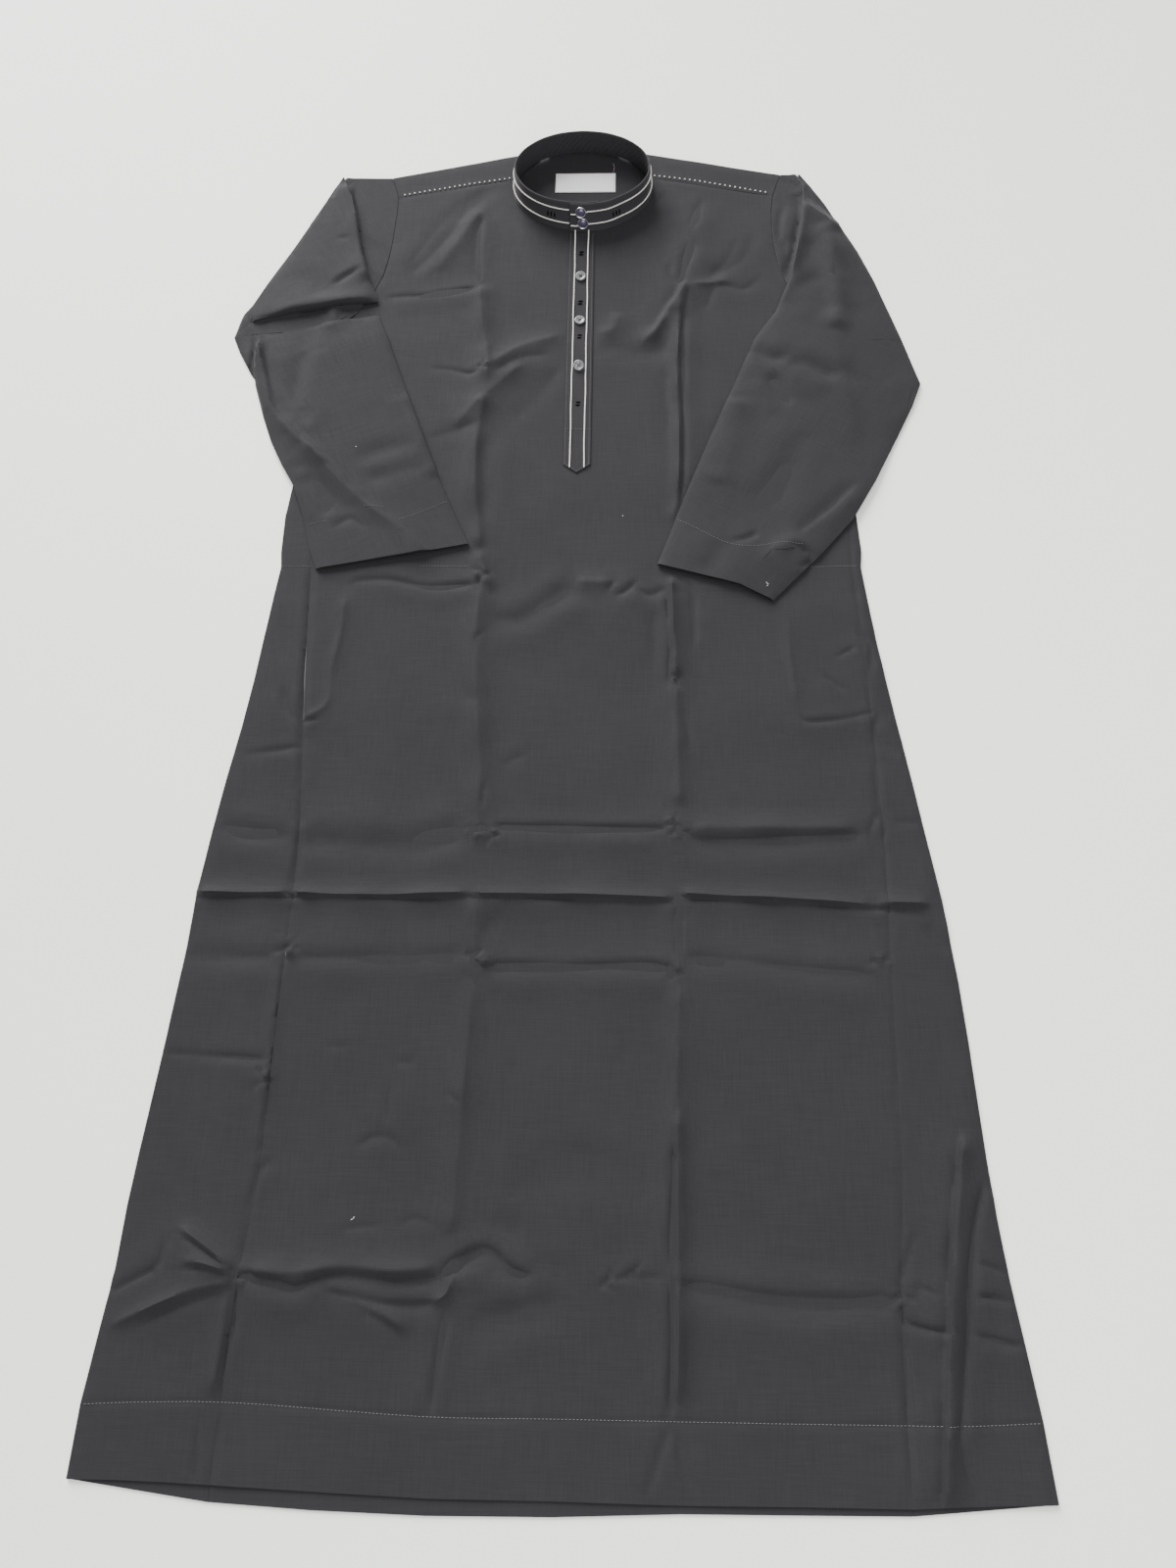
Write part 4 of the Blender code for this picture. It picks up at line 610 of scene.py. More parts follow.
def spaced(points, step):
    """Points at even steps along a polyline."""
    p = np.array(points, float)
    lengths = np.concatenate([[0.0], np.cumsum(np.linalg.norm(np.diff(p, axis=0), axis=1))])
    count = max(2, int(round(lengths[-1] / step)) + 1)
    at = np.linspace(0.0, lengths[-1], count)
    return np.column_stack([np.interp(at, lengths, p[:, k]) for k in range(p.shape[1])])


def within(places, line, reach):
    """The numbers of the places that lie in a line's box, or up to reach mm outside it."""
    low, high = line.min(axis=0) - reach, line.max(axis=0) + reach
    return np.nonzero(((places > low) & (places < high)).all(axis=1))[0]


def signed_distance(places, line):
    """Distance of each place to a polyline, which side it lies on, and its share along the line."""
    starts, steps = line[:-1], np.diff(line, axis=0)
    lengths = np.linalg.norm(steps, axis=1)
    ends = np.cumsum(lengths)
    off = places[:, None, :] - starts[None]
    along = np.clip((off * steps).sum(2) / (lengths**2), 0.0, 1.0)
    gap = off - along[:, :, None] * steps
    distance = np.linalg.norm(gap, axis=2)
    best = distance.argmin(axis=1)
    row = np.arange(len(places))
    side = np.sign(steps[best, 0] * off[row, best, 1] - steps[best, 1] * off[row, best, 0])
    share = (ends[best] - lengths[best] * (1 - along[row, best])) / ends[-1]
    return distance[row, best], side, share


def knot_creases(knot):
    """The short creases that run out of a knot."""
    out = []
    for turn, share, height in KNOT_ARMS:
        way = radians(knot.turn + turn)
        bent = way + KNOT_BEND
        start, half = KNOT_HOLLOW * knot.size, 0.5 * knot.size * share
        middle = (knot.across + half * cos(way), knot.up + half * sin(way))
        points = [(knot.across + start * cos(way), knot.up + start * sin(way)), middle]
        points.append((middle[0] + half * cos(bent), middle[1] + half * sin(bent)))
        out.append(Crease(height, *KNOT_WIDTHS, points))
    return out


def crease_height(places, crease, number):
    """A crease's height in mm: sharp at its line, soft away from it, uneven along it, faded at its ends."""
    line = curve_through(crease.points)
    near = within(places, line, CREASE_REACH * max(crease.left, crease.right))
    height = np.zeros(len(places))
    if len(near) == 0:
        return height
    distance, side, share = signed_distance(places[near], line)
    width = np.where(side > 0, crease.left, crease.right)
    away = distance / width
    rounded = np.sqrt(distance**2 + CREST_ROUNDING**2) - CREST_ROUNDING
    sharp = smooth(*SOFT_FROM, width)
    profile = sharp * np.exp(-rounded / width) + (1 - sharp) * np.exp(-((away / ROUND_WIDTH) ** 2))
    profile *= smooth(*CREASE_FADE, away)
    if crease.height < 0:
        profile -= SHOULDER * np.exp(-((away / SHOULDER_WIDTH) ** 2)) * smooth(*SHOULDER_FADE, away)
    length = np.linalg.norm(np.diff(line, axis=0), axis=1).sum()
    run = share * length
    waves = 1.0
    for swing, radian, shift in CREASE_WAVES:
        waves = waves + swing * np.sin(run / radian + shift * number)
    fade = min(END_FADE, END_SHARE * length)
    beyond = END_BEYOND * fade
    ends = smooth(0.0, fade, run + beyond) * smooth(0.0, fade, length - run + beyond)
    height[near] = crease.height * profile * waves * ends
    return height


def ripples(places, longest, shortest, count, seed):
    """Soft uneven swells of unit size, as a sum of waves in seeded directions."""
    random = np.random.default_rng(seed)
    total = np.zeros(len(places))
    for _ in range(count):
        length = longest * (shortest / longest) ** random.random()
        turn = random.random() * 2 * pi
        phase = random.random() * 2 * pi
        wave = (places @ np.array([cos(turn), sin(turn)])) * 2 * pi / length + phase
        total += np.sin(wave) * (length / longest) ** RIPPLE_GROWTH
    return total / sqrt(count)


def relief(places, creases, deeper):
    """Height in metres that creases and swells add to the cloth at places in mm."""
    cloth = bpy.context.scene.kurta_cloth
    total = np.zeros(len(places))
    for number, crease in enumerate(creases):
        total += crease_height(places, crease, number)
    total *= cloth.crease_depth * deeper * MM
    total += cloth.swell * ripples(places, *SWELL_WAVES, SEED)
    return total + cloth.pucker * ripples(places, *PUCKER_WAVES, SEED + 1)


# Meshes


def link(name, mesh, material):
    """A new piece of one material, riding on the garment's one body."""
    obj = bpy.data.objects.new(name, mesh)
    bpy.context.scene.collection.objects.link(obj)
    mesh.materials.append(material)
    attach(obj, "root")
    return obj


def mesh_from(name, vertices, faces):
    """A smooth mesh from its vertices and faces."""
    mesh = bpy.data.meshes.new(name)
    mesh.from_pydata([tuple(v) for v in vertices], [], faces)
    mesh.validate()
    mesh.shade_smooth()
    return mesh


def node_tree(node):
    """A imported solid, for rays and distances."""
    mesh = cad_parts[node].data
    return BVHTree.FromPolygons([v.co for v in mesh.vertices], [p.vertices for p in mesh.polygons])


def copy_of(node):
    """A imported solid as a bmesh, its vertices merged."""
    bm = bmesh.new()
    bm.from_mesh(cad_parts[node].data)
    bmesh.ops.remove_doubles(bm, verts=bm.verts, dist=MERGE_DISTANCE)
    bm.normal_update()
    return bm


def hit_on(tree, place_in_mm, side):
    """Where a ray from above, or from below, meets a solid."""
    return tree.ray_cast(place(*place_in_mm, side * RAY_START), Vector((0, 0, -side)))[0]


def height_map(tree, low, high, side):
    """A solid's upper or lower height over a grid of places in mm, softened over a few cells."""
    step, margin = HEIGHT_STEP, 3 * HEIGHT_STEP
    across = np.arange(low[0] - margin, high[0] + margin, step)
    ups = np.arange(low[1] - margin, high[1] + margin, step)
    heights = np.zeros((len(across), len(ups)))
    known = np.zeros_like(heights)
    for i, x in enumerate(across):
        for j, up in enumerate(ups):
            hit = hit_on(tree, (x, up), side)
            if hit is not None:
                heights[i, j], known[i, j] = hit.z, 1.0
    reach = 2 * HEIGHT_BLUR
    kernel = np.exp(-0.5 * (np.arange(-reach, reach + 1) / HEIGHT_BLUR) ** 2)
    for axis in (0, 1):
        heights = np.apply_along_axis(np.convolve, axis, heights, kernel, "same")
        known = np.apply_along_axis(np.convolve, axis, known, kernel, "same")
    heights = np.where(known > 1e-6, heights / np.maximum(known, 1e-6), 0.0)

    def read(places):
        u = np.clip((places[:, 0] - across[0]) / step, 0, len(across) - 1.001)
        v = np.clip((places[:, 1] - ups[0]) / step, 0, len(ups) - 1.001)
        i, j = u.astype(int), v.astype(int)
        u, v = u - i, v - j
        lower = heights[i, j] * (1 - u) + heights[i + 1, j] * u
        return lower * (1 - v) + (heights[i, j + 1] * (1 - u) + heights[i + 1, j + 1] * u) * v

    return read


def spread(groups, low, high):
    """Points of several groups (points, clearance in mm, whether kept) that stay clear of earlier ones."""
    margin = 12
    busy = np.zeros(((high - low).astype(int) + 2 * margin), bool)
    kept = []
    for points, clearance, keep in groups:
        cells = (points - low).astype(int) + margin
        inside = ((cells > clearance) & (cells < np.array(busy.shape) - clearance)).all(axis=1)
        for point, (i, j) in zip(points[inside], cells[inside]):
            if keep and busy[i, j]:
                continue
            if keep:
                kept.append(point)
            busy[i - clearance : i + clearance + 1, j - clearance : j + clearance + 1] = True
    return np.array(kept)


def beside(line, off, step):
    """Points beside a line at a distance from it."""
    points = spaced(line, step)
    way = np.gradient(points, axis=0)
    way /= np.maximum(np.linalg.norm(way, axis=1), 1e-9)[:, None]
    return points + off * np.column_stack([-way[:, 1], way[:, 0]])


def scattered(borders, creases, low, high, spacing):
    """Places for a surface's vertices: rows along its creases, and an uneven grid between them."""
    lines = [curve_through(crease.points) for crease in creases]
    groups = [(borders, 1, False)]
    groups += [(spaced(line, CREASE_STEP), 1, True) for line in lines]
    for away, step, clearance in CREASE_ROWS:
        groups += [(beside(line, off, step), clearance, True) for line in lines for off in (-away, away)]
    random = np.random.default_rng(SEED)
    columns = np.arange(low[0], high[0], spacing)
    rows = np.arange(low[1], high[1], spacing * GRID_ROW)
    grid = np.array([(x + (k % 2) * spacing / 2, up) for k, up in enumerate(rows) for x in columns])
    grid += random.uniform(-GRID_SHIFT, GRID_SHIFT, grid.shape) * spacing
    groups.append((grid, int(spacing * GRID_CLEARANCE), True))
    return spread(groups, low, high)


def ease_to_rim(heights, found, borders, tree, side):
    """Near the rim, brings the softened heights back to the solid's own."""
    near_rim = KDTree(len(borders))
    for k, point in enumerate(borders):
        near_rim.insert((*point, 0.0), k)
    near_rim.balance()
    for k, point in enumerate(found):
        share = float(smooth(0.0, RIM_BLEND, near_rim.find((*point, 0.0))[2]))
        hit = hit_on(tree, point, side) if share < 1.0 else None
        if hit is not None:
            heights[k] = hit.z + (heights[k] - hit.z) * share


def resurface(bm, node, creases, spacing, side=1, low=HIDDEN_LAYER):
    """Cuts a solid's upper side, or its lower one, anew into small triangles, closer at creases."""
    tree = node_tree(node)
    bm.normal_update()
    old = [f for f in bm.faces if f.normal.z * side > 0.5 and (side < 0 or f.calc_center_median().z > low)]
    bmesh.ops.delete(bm, geom=old, context="FACES_KEEP_BOUNDARY")
    for edge in [e for e in bm.edges if e.is_boundary]:
        cuts = int(edge.calc_length() / RIM_SPACING)
        if cuts:
            bmesh.ops.subdivide_edges(bm, edges=[edge], cuts=cuts)
    rim_edges = [e for e in bm.edges if e.is_boundary]
    rim = list({v for e in rim_edges for v in e.verts})
    rim.sort(key=lambda v: (v.co.y, v.co.x))
    number = {vert: k for k, vert in enumerate(rim)}
    outline = places_of(np.array([v.co for v in rim]))
    borders = np.vstack([spaced([outline[number[v]] for v in e.verts], BORDER_STEP) for e in rim_edges])
    low_place, high_place = outline.min(axis=0), outline.max(axis=0)
    points = scattered(borders, creases, low_place, high_place, spacing)
    read = height_map(tree, low_place, high_place, side)
    both = [Vector(p) for p in outline] + [Vector(p) for p in points]
    walls = [(number[e.verts[0]], number[e.verts[1]]) for e in rim_edges]
    found, _, faces, origins, _, _ = delaunay_2d_cdt(both, walls, [], 1, 1e-4)
    found = np.array([tuple(v) for v in found])
    heights = read(found)
    ease_to_rim(heights, found, borders, tree, side)
    verts = []
    for point, height, origin in zip(found, heights, origins):
        known = [k for k in origin if k < len(rim)]
        verts.append(rim[known[0]] if known else bm.verts.new(place(*point, height)))
    for face in faces:
        turned = face if side > 0 else face[::-1]
        corners = [verts[k] for k in turned]
        if len(set(corners)) == 3 and bm.faces.get(corners) is None:
            bm.faces.new(corners)
    bmesh.ops.delete(bm, geom=[v for v in bm.verts if not v.link_edges], context="VERTS")
    bm.normal_update()
    bm.verts.index_update()
    inner = [v for v in verts if v.is_valid and v.link_faces and v not in number]
    return inner, rim


def under_cover(points, trees):
    """0 where another piece lies on the cloth, 1 where none is near."""
    near, far = COVER_REACH
    mask = np.ones(len(points))
    for index, point in enumerate(points):
        for tree in trees:
            distance = tree.find_nearest(Vector(point), far)[3]
            if distance is not None:
                mask[index] = min(mask[index], smooth(near, far, distance))
    return mask


def crease_up(verts, creases, trees=(), least=None, share=1.0, floor=0.0, deeper=1.0):
    """Adds creases and swells to some vertices of the cloth; less where another piece lies on it."""
    co = np.array([v.co for v in verts])
    added = relief(places_of(co), creases, deeper) * share
    if trees:
        added *= COVERED_SHARE + (1 - COVERED_SHARE) * under_cover(co, trees)
    if least is not None:
        added = np.maximum(added, least)
    for vert, more in zip(verts, added):
        top = vert.co.z + more
        if floor:
            eased = floor + FLOOR_EASE * float(np.logaddexp(0.0, (top - floor) / FLOOR_EASE))
            top = min(max(vert.co.z, top), eased)
        vert.co.z = max(top, 0.0)


def close_seams(bm, rim):
    """Grows a piece a little at its rim."""
    upper = set(rim)
    moves = {}
    for edge in bm.edges:
        if edge.verts[0] in upper and edge.verts[1] in upper and len(edge.link_faces) == 2:
            wall = min(edge.link_faces, key=lambda f: abs(f.normal.z))
            if abs(wall.normal.z) < 0.5:
                for vert in edge.verts:
                    moves.setdefault(vert, Vector()).xy += wall.normal.xy
    for vert, way in moves.items():
        if way.length > 1e-9:
            vert.co += way.normalized() * SEAM_CLOSING


def keep_wall(rim):
    """Moves the lower side of each rim with its upper side, so that edges keep the cloth's thickness."""
    upper = set(rim)
    for vert in rim:
        for edge in vert.link_edges:
            other = edge.other_vert(vert)
            below = hypot(other.co.x - vert.co.x, other.co.y - vert.co.y) < 1e-5
            if other not in upper and below:
                other.co.z = max(vert.co.z - WALL, 0.0)


def shows(face):
    """Whether a face of a solid is seen: not an underside, and not an inside of the folded cloth."""
    if face.normal.z < -UPRIGHT:
        return False
    return face.normal.z < UPRIGHT or face.calc_center_median().z > HIDDEN_LAYER


def long_edges(bm, longest, any_or_all):
    """Edges over a length, any or all of whose faces are seen."""
    return [e for e in bm.edges if e.calc_length() > longest and any_or_all(shows(f) for f in e.link_faces)]


def near_lines(edges, lines, reach):
    """Those of some edges whose middles lie within reach, in mm, of a line."""
    if not edges:
        return []
    middles = places_of(np.array([((e.verts[0].co + e.verts[1].co) / 2)[:2] for e in edges]))
    close = np.zeros(len(edges), bool)
    for line in lines:
        near = within(middles, line, reach)
        if len(near):
            close[near] |= signed_distance(middles[near], line)[0] < reach
    return [edge for edge, is_close in zip(edges, close) if is_close]


def refined(node, spacing):
    """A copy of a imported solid, its seen faces cut down to a spacing in metres."""
    bm = copy_of(node)
    bmesh.ops.join_triangles(
        bm, faces=bm.faces, angle_face_threshold=JOIN_BEND, angle_shape_threshold=JOIN_SKEW
    )
    for longest in (8 * spacing, 4 * spacing, 2 * spacing, spacing):
        bmesh.ops.subdivide_edges(bm, edges=long_edges(bm, longest, any), cuts=1, use_grid_fill=True)
    return bm


def closer_at(bm, lines, spacing):
    """Cuts the seen faces further near some lines."""
    for _ in range(2):
        edges = near_lines(long_edges(bm, spacing, all), lines, CLOSER_REACH)
        bmesh.ops.subdivide_edges(bm, edges=edges, cuts=1, use_grid_fill=True)


def upper_verts(bm):
    """The vertices within a piece's upper side, and those on its rim."""
    bm.normal_update()
    bm.verts.index_update()
    inner, rim = [], []
    for vert in bm.verts:
        up = [f.normal.z > 0.5 and f.calc_center_median().z > HIDDEN_LAYER for f in vert.link_faces]
        if up and all(up):
            inner.append(vert)
        elif any(up):
            rim.append(vert)
    return inner, rim


def soften(bm, inner, passes):
    """Averages the heights of some vertices with their neighbours'."""
    bm.verts.index_update()
    heights = np.array([v.co.z for v in bm.verts])
    moving = np.zeros(len(heights), bool)
    moving[[v.index for v in inner]] = True
    edges = np.array([(e.verts[0].index, e.verts[1].index) for e in bm.edges])
    count = np.maximum(np.bincount(edges.ravel(), minlength=len(heights)), 1)
    for _ in range(passes):
        total = np.bincount(edges[:, 0], heights[edges[:, 1]], len(heights))
        total += np.bincount(edges[:, 1], heights[edges[:, 0]], len(heights))
        heights = np.where(moving, 0.5 * heights + 0.5 * total / count, heights)
    for vert in inner:
        vert.co.z = heights[vert.index]


def to_mesh(bm, name):
    """A bmesh as a smooth mesh with sharp edges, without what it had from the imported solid."""
    mesh = bpy.data.meshes.new(name)
    bm.to_mesh(mesh)
    bm.free()
    for inherited in ("custom_normal", "sharp_edge", "sharp_face"):
        if inherited in mesh.attributes:
            mesh.attributes.remove(mesh.attributes[inherited])
    mesh.materials.clear()
    mesh.shade_smooth()
    mesh.set_sharp_from_angle(angle=CLOTH_SHARP)
    return mesh


def ground_tree(names):
    """A tree of finished pieces, for what lies on them."""
    vertices, faces = [], []
    for name in names:
        mesh = bpy.data.objects[name].data
        base = len(vertices)
        vertices += [v.co.copy() for v in mesh.vertices]
        faces += [[base + k for k in p.vertices] for p in mesh.polygons]
    return BVHTree.FromPolygons(vertices, faces)


def drop(tree, point):
    """Where a point falls on the finished cloth beneath it, and the cloth's normal there."""
    hit = tree.ray_cast(Vector((point[0], point[1], DROP_START)), Vector((0, 0, -1)))
    return hit[0], hit[1]


def stitch_mesh(name, stitches, width, bow=1.0):
    """Short threads joined in one mesh: each goes from one point to another and bows out along a normal."""
    vertices, faces = [], []
    for start, end, normal in stitches:
        start, end, normal = Vector(start), Vector(end), Vector(normal).normalized()
        middle, along = (start + end) / 2, end - start
        across = normal.cross(along).normalized()
        base = len(vertices)
        for share, thick, lift in STITCH_RINGS:
            centre = middle + along * share + normal * (lift * bow * width)
            for side in range(STITCH_SIDES):
                angle = 2 * pi * side / STITCH_SIDES
                offset = across * cos(angle) + normal * sin(angle)
                vertices.append(centre + offset * (thick * width / 2))
        for ring in range(len(STITCH_RINGS) - 1):
            for side in range(STITCH_SIDES):
                a = base + ring * STITCH_SIDES + side
                b = base + ring * STITCH_SIDES + (side + 1) % STITCH_SIDES
                faces.append((a, b, b + STITCH_SIDES, a + STITCH_SIDES))
        last = base + (len(STITCH_RINGS) - 1) * STITCH_SIDES
        faces.append(tuple(range(base + STITCH_SIDES - 1, base - 1, -1)))
        faces.append(tuple(range(last, last + STITCH_SIDES)))
    return mesh_from(name, vertices, faces)


def stitches_on(tree, line, length, gap):
    """Stitches along a line of places in mm, on the cloth beneath it."""
    points = spaced(np.array(line) * MM, (length + gap) / 2)
    out = []
    for k in range(0, len(points) - 1, 2):
        a, b = points[k], points[k + 1]
        way = (b - a) / np.linalg.norm(b - a)
        b = a + way * length
        (start, normal), (end, _) = (drop(tree, (p[0], p[1] - MID_LENGTH)) for p in (a, b))
        if start is not None and end is not None and (start - end).length < 1.5 * length:
            out.append((start, end, normal))
    return out


def sewn(name, tree, lines, stitch, material):
    """A piece of stitches along lines of places in mm, on the cloth beneath them."""
    stitches = [s for line in lines for s in stitches_on(tree, line, stitch.length, stitch.gap)]
    link(name, stitch_mesh(name, stitches, stitch.width), material)


def twisted_cord(name, path, normals, radius, pitch):
    """A two-ply cord along a path."""
    path, normals = np.array(path, float), np.array(normals, float)
    tangents = np.gradient(path, axis=0)
    tangents /= np.linalg.norm(tangents, axis=1)[:, None]
    sides = np.cross(tangents, normals)
    sides /= np.linalg.norm(sides, axis=1)[:, None]
    normals = np.cross(sides, tangents)
    run = np.concatenate([[0.0], np.cumsum(np.linalg.norm(np.diff(path, axis=0), axis=1))])
    ply, rows = radius * PLY_SHARE, len(path)
    vertices, faces = [], []
    for strand in range(2):
        phase = 2 * pi * run / pitch + pi * strand
        out = np.cos(phase)[:, None] * normals + np.sin(phase)[:, None] * sides
        centre = path + (radius - ply) * out
        base = len(vertices)
        for side in range(PLY_SIDES):
            angle = 2 * pi * side / PLY_SIDES
            vertices += list(centre + ply * (cos(angle) * normals + sin(angle) * sides))
        for side in range(PLY_SIDES):
            a, b = base + side * rows, base + (side + 1) % PLY_SIDES * rows
            for k in range(rows - 1):
                faces.append((b + k, b + k + 1, a + k + 1, a + k))
        faces.append(tuple(base + side * rows for side in reversed(range(PLY_SIDES))))
        faces.append(tuple(base + side * rows + rows - 1 for side in range(PLY_SIDES)))
    return mesh_from(name, vertices, faces)


def lathe(name, profile, matrix, segments):
    """A turned mesh from the radius and height of each point of its profile, in metres."""
    vertices, faces, rings = [], [], []
    for radius, height in profile:
        count = 1 if radius == 0 else segments
        rings.append((len(vertices), count))
        for k in range(count):
            angle = 2 * pi * k / segments
            vertices.append(matrix @ Vector((radius * cos(angle), radius * sin(angle), height)))
    closed = profile[0][0] > 0
    pairs = list(zip(rings, rings[1:])) + ([(rings[-1], rings[0])] if closed else [])
    for (a, m), (b, n) in pairs:
        for k in range(segments):
            j = (k + 1) % segments
            corners = [a + k % m, a + j % m, b + j % n, b + k % n]
            faces.append(tuple(dict.fromkeys(corners)))
    mesh = mesh_from(name, vertices, faces)
    mesh.set_sharp_from_angle(angle=TURNED_SHARP)
    return mesh


def pierced(mesh, matrix):
    """A button's mesh with its four holes cut through."""
    solid = bpy.data.objects.new("button_solid", mesh)
    bpy.context.scene.collection.objects.link(solid)
    bm = bmesh.new()
    away = BUTTON_HOLE_OFFSET * sqrt(2)
    for k in range(4):
        angle = radians(45 + 90 * k)
        at = Matrix.Translation((away * cos(angle), away * sin(angle), BUTTON_THICK / 2))
        bmesh.ops.create_cone(
            bm, cap_ends=True, segments=BUTTON_HOLE_SIDES, radius1=BUTTON_HOLE_RADIUS,
            radius2=BUTTON_HOLE_RADIUS, depth=3 * BUTTON_THICK, matrix=matrix @ at,
        )
    drill_mesh = bpy.data.meshes.new("button_drill")
    bm.to_mesh(drill_mesh)
    bm.free()
    drill = bpy.data.objects.new("button_drill", drill_mesh)
    bpy.context.scene.collection.objects.link(drill)
    cut = solid.modifiers.new("holes", "BOOLEAN")
    cut.operation = "DIFFERENCE"
    cut.object = drill
    shaped = bpy.data.meshes.new_from_object(solid.evaluated_get(bpy.context.evaluated_depsgraph_get()))
    for helper in (solid, drill):
        bpy.data.objects.remove(helper)
    shaped.materials.clear()
    shaped.shade_smooth()
    shaped.set_sharp_from_angle(angle=TURNED_SHARP)
    return shaped


# Materials


def new_group(name, inputs, outputs):
    """A shader node group with named sockets: (name, kind, default) in, (name, kind) out."""
    group = bpy.data.node_groups.new(name, "ShaderNodeTree")
    for label, kind, default in inputs:
        socket = group.interface.new_socket(label, in_out="INPUT", socket_type=kind)
        socket.default_value = default
    for label, kind in outputs:
        group.interface.new_socket(label, in_out="OUTPUT", socket_type=kind)
    return group, group.nodes.new("NodeGroupInput"), group.nodes.new("NodeGroupOutput")


def math_node(nodes, links, operation, first, second):
    """The result of a sum on two sockets or numbers."""
    node = nodes.new("ShaderNodeMath")
    node.operation = operation
    for socket, value in zip(node.inputs, (first, second)):
        if isinstance(value, (int, float)):
            socket.default_value = value
        else:
            links.new(value, socket)
    return node.outputs[0]


def noise_node(nodes, links, where, scale, detail):
    """A noise between 0 and 1."""
    noise = nodes.new("ShaderNodeTexNoise")
    noise.inputs["Scale"].default_value = scale
    noise.inputs["Detail"].default_value = detail
    links.new(where, noise.inputs["Vector"])
    return noise.outputs["Fac"]


def swing_node(nodes, links, noise, swing):
    """A noise turned into a value about 0."""
    centred = math_node(nodes, links, "SUBTRACT", noise, 0.5)
    return math_node(nodes, links, "MULTIPLY", centred, swing)


def weave_group():
    """Plain weave with slubs: thread height, a shade about 1 for the colour, and roughness."""
    group, entry, leave = new_group(
        "plain_weave",
        [
            ("Thread Spacing", "NodeSocketFloat", 0.0006),
            ("Turn", "NodeSocketFloat", 0.0),
            ("Slub", "NodeSocketFloat", 0.1),
            ("Roughness", "NodeSocketFloat", 0.7),
        ],
        [("Height", "NodeSocketFloat"), ("Shade", "NodeSocketFloat"), ("Roughness", "NodeSocketFloat")],
    )
    nodes, links = group.nodes, group.links
    where = nodes.new("ShaderNodeTexCoord")
    turn = nodes.new("ShaderNodeVectorRotate")
    turn.rotation_type = "Z_AXIS"
    links.new(where.outputs["Object"], turn.inputs["Vector"])
    links.new(entry.outputs["Turn"], turn.inputs["Angle"])
    waves = []
    scale = math_node(nodes, links, "DIVIDE", WAVE_BAND, entry.outputs["Thread Spacing"])
    for direction in ("X", "Y"):
        wave = nodes.new("ShaderNodeTexWave")
        wave.bands_direction = direction
        wave.inputs["Distortion"].default_value = THREAD_DISTORTION
        wave.inputs["Detail"].default_value = 1.0
        links.new(turn.outputs["Vector"], wave.inputs["Vector"])
        links.new(scale, wave.inputs["Scale"])
        waves.append(wave.outputs["Fac"])
    height = math_node(nodes, links, "MULTIPLY", *waves)
    links.new(height, leave.inputs["Height"])
    streaks = []
    for stretch in ((1.0, SLUB_STRETCH, 1.0), (SLUB_STRETCH, 1.0, 1.0)):
        mapping = nodes.new("ShaderNodeMapping")
        mapping.inputs["Scale"].default_value = stretch
        links.new(turn.outputs["Vector"], mapping.inputs["Vector"])
        streaks.append(noise_node(nodes, links, mapping.outputs["Vector"], SLUB_SCALE, 2.0))
    both = math_node(nodes, links, "ADD", *streaks)
    centred = math_node(nodes, links, "SUBTRACT", both, 1.0)
    slub = math_node(nodes, links, "MULTIPLY", centred, entry.outputs["Slub"])
    cloudy = noise_node(nodes, links, turn.outputs["Vector"], CLOUD_SCALE, 4.0)
    cloud = swing_node(nodes, links, cloudy, CLOUD_SWING)
    shade = math_node(nodes, links, "ADD", math_node(nodes, links, "ADD", slub, cloud), 1.0)
    links.new(shade, leave.inputs["Shade"])
    smoother = math_node(nodes, links, "MULTIPLY", slub, SLUB_ROUGHNESS)
    rough = math_node(nodes, links, "ADD", entry.outputs["Roughness"], smoother)
    links.new(rough, leave.inputs["Roughness"])
    return group


def principled(name):
    """A new material with its nodes, links and shader."""
    material = bpy.data.materials.new(name)
    material.use_nodes = True
    tree = material.node_tree
    return material, tree.nodes, tree.links, tree.nodes["Principled BSDF"]


def shaded_color(nodes, links, color, shade):
    """A colour times a shade that varies over the surface."""
    mix = nodes.new("ShaderNodeMix")
    mix.data_type = "RGBA"
    mix.blend_type = "MULTIPLY"
    mix.inputs["Factor"].default_value = 1.0
    mix.inputs["A"].default_value = (*color, 1.0)
    links.new(shade, mix.inputs["B"])
    return mix.outputs["Result"]


def woven_material(name, color, weave):
    """Cloth: a plain weave in its colour, roughness and relief."""
    material, nodes, links, shader = principled(name)
    group = nodes.new("ShaderNodeGroup")
    group.node_tree = bpy.data.node_groups.get("plain_weave") or weave_group()
    group.inputs["Thread Spacing"].default_value = weave.spacing
    group.inputs["Turn"].default_value = weave.turn
    group.inputs["Slub"].default_value = weave.slub
    group.inputs["Roughness"].default_value = weave.roughness
    links.new(shaded_color(nodes, links, color, group.outputs["Shade"]), shader.inputs["Base Color"])
    links.new(group.outputs["Roughness"], shader.inputs["Roughness"])
    bump = nodes.new("ShaderNodeBump")
    bump.inputs["Strength"].default_value = weave.bump
    bump.inputs["Distance"].default_value = weave.spacing * THREAD_HEIGHT
    links.new(group.outputs["Height"], bump.inputs["Height"])
    links.new(bump.outputs["Normal"], shader.inputs["Normal"])
    shader.inputs["Sheen Weight"].default_value = weave.sheen
    shader.inputs["Sheen Roughness"].default_value = SHEEN_ROUGHNESS
    shader.inputs["Specular IOR Level"].default_value = CLOTH_SPECULAR
    return material


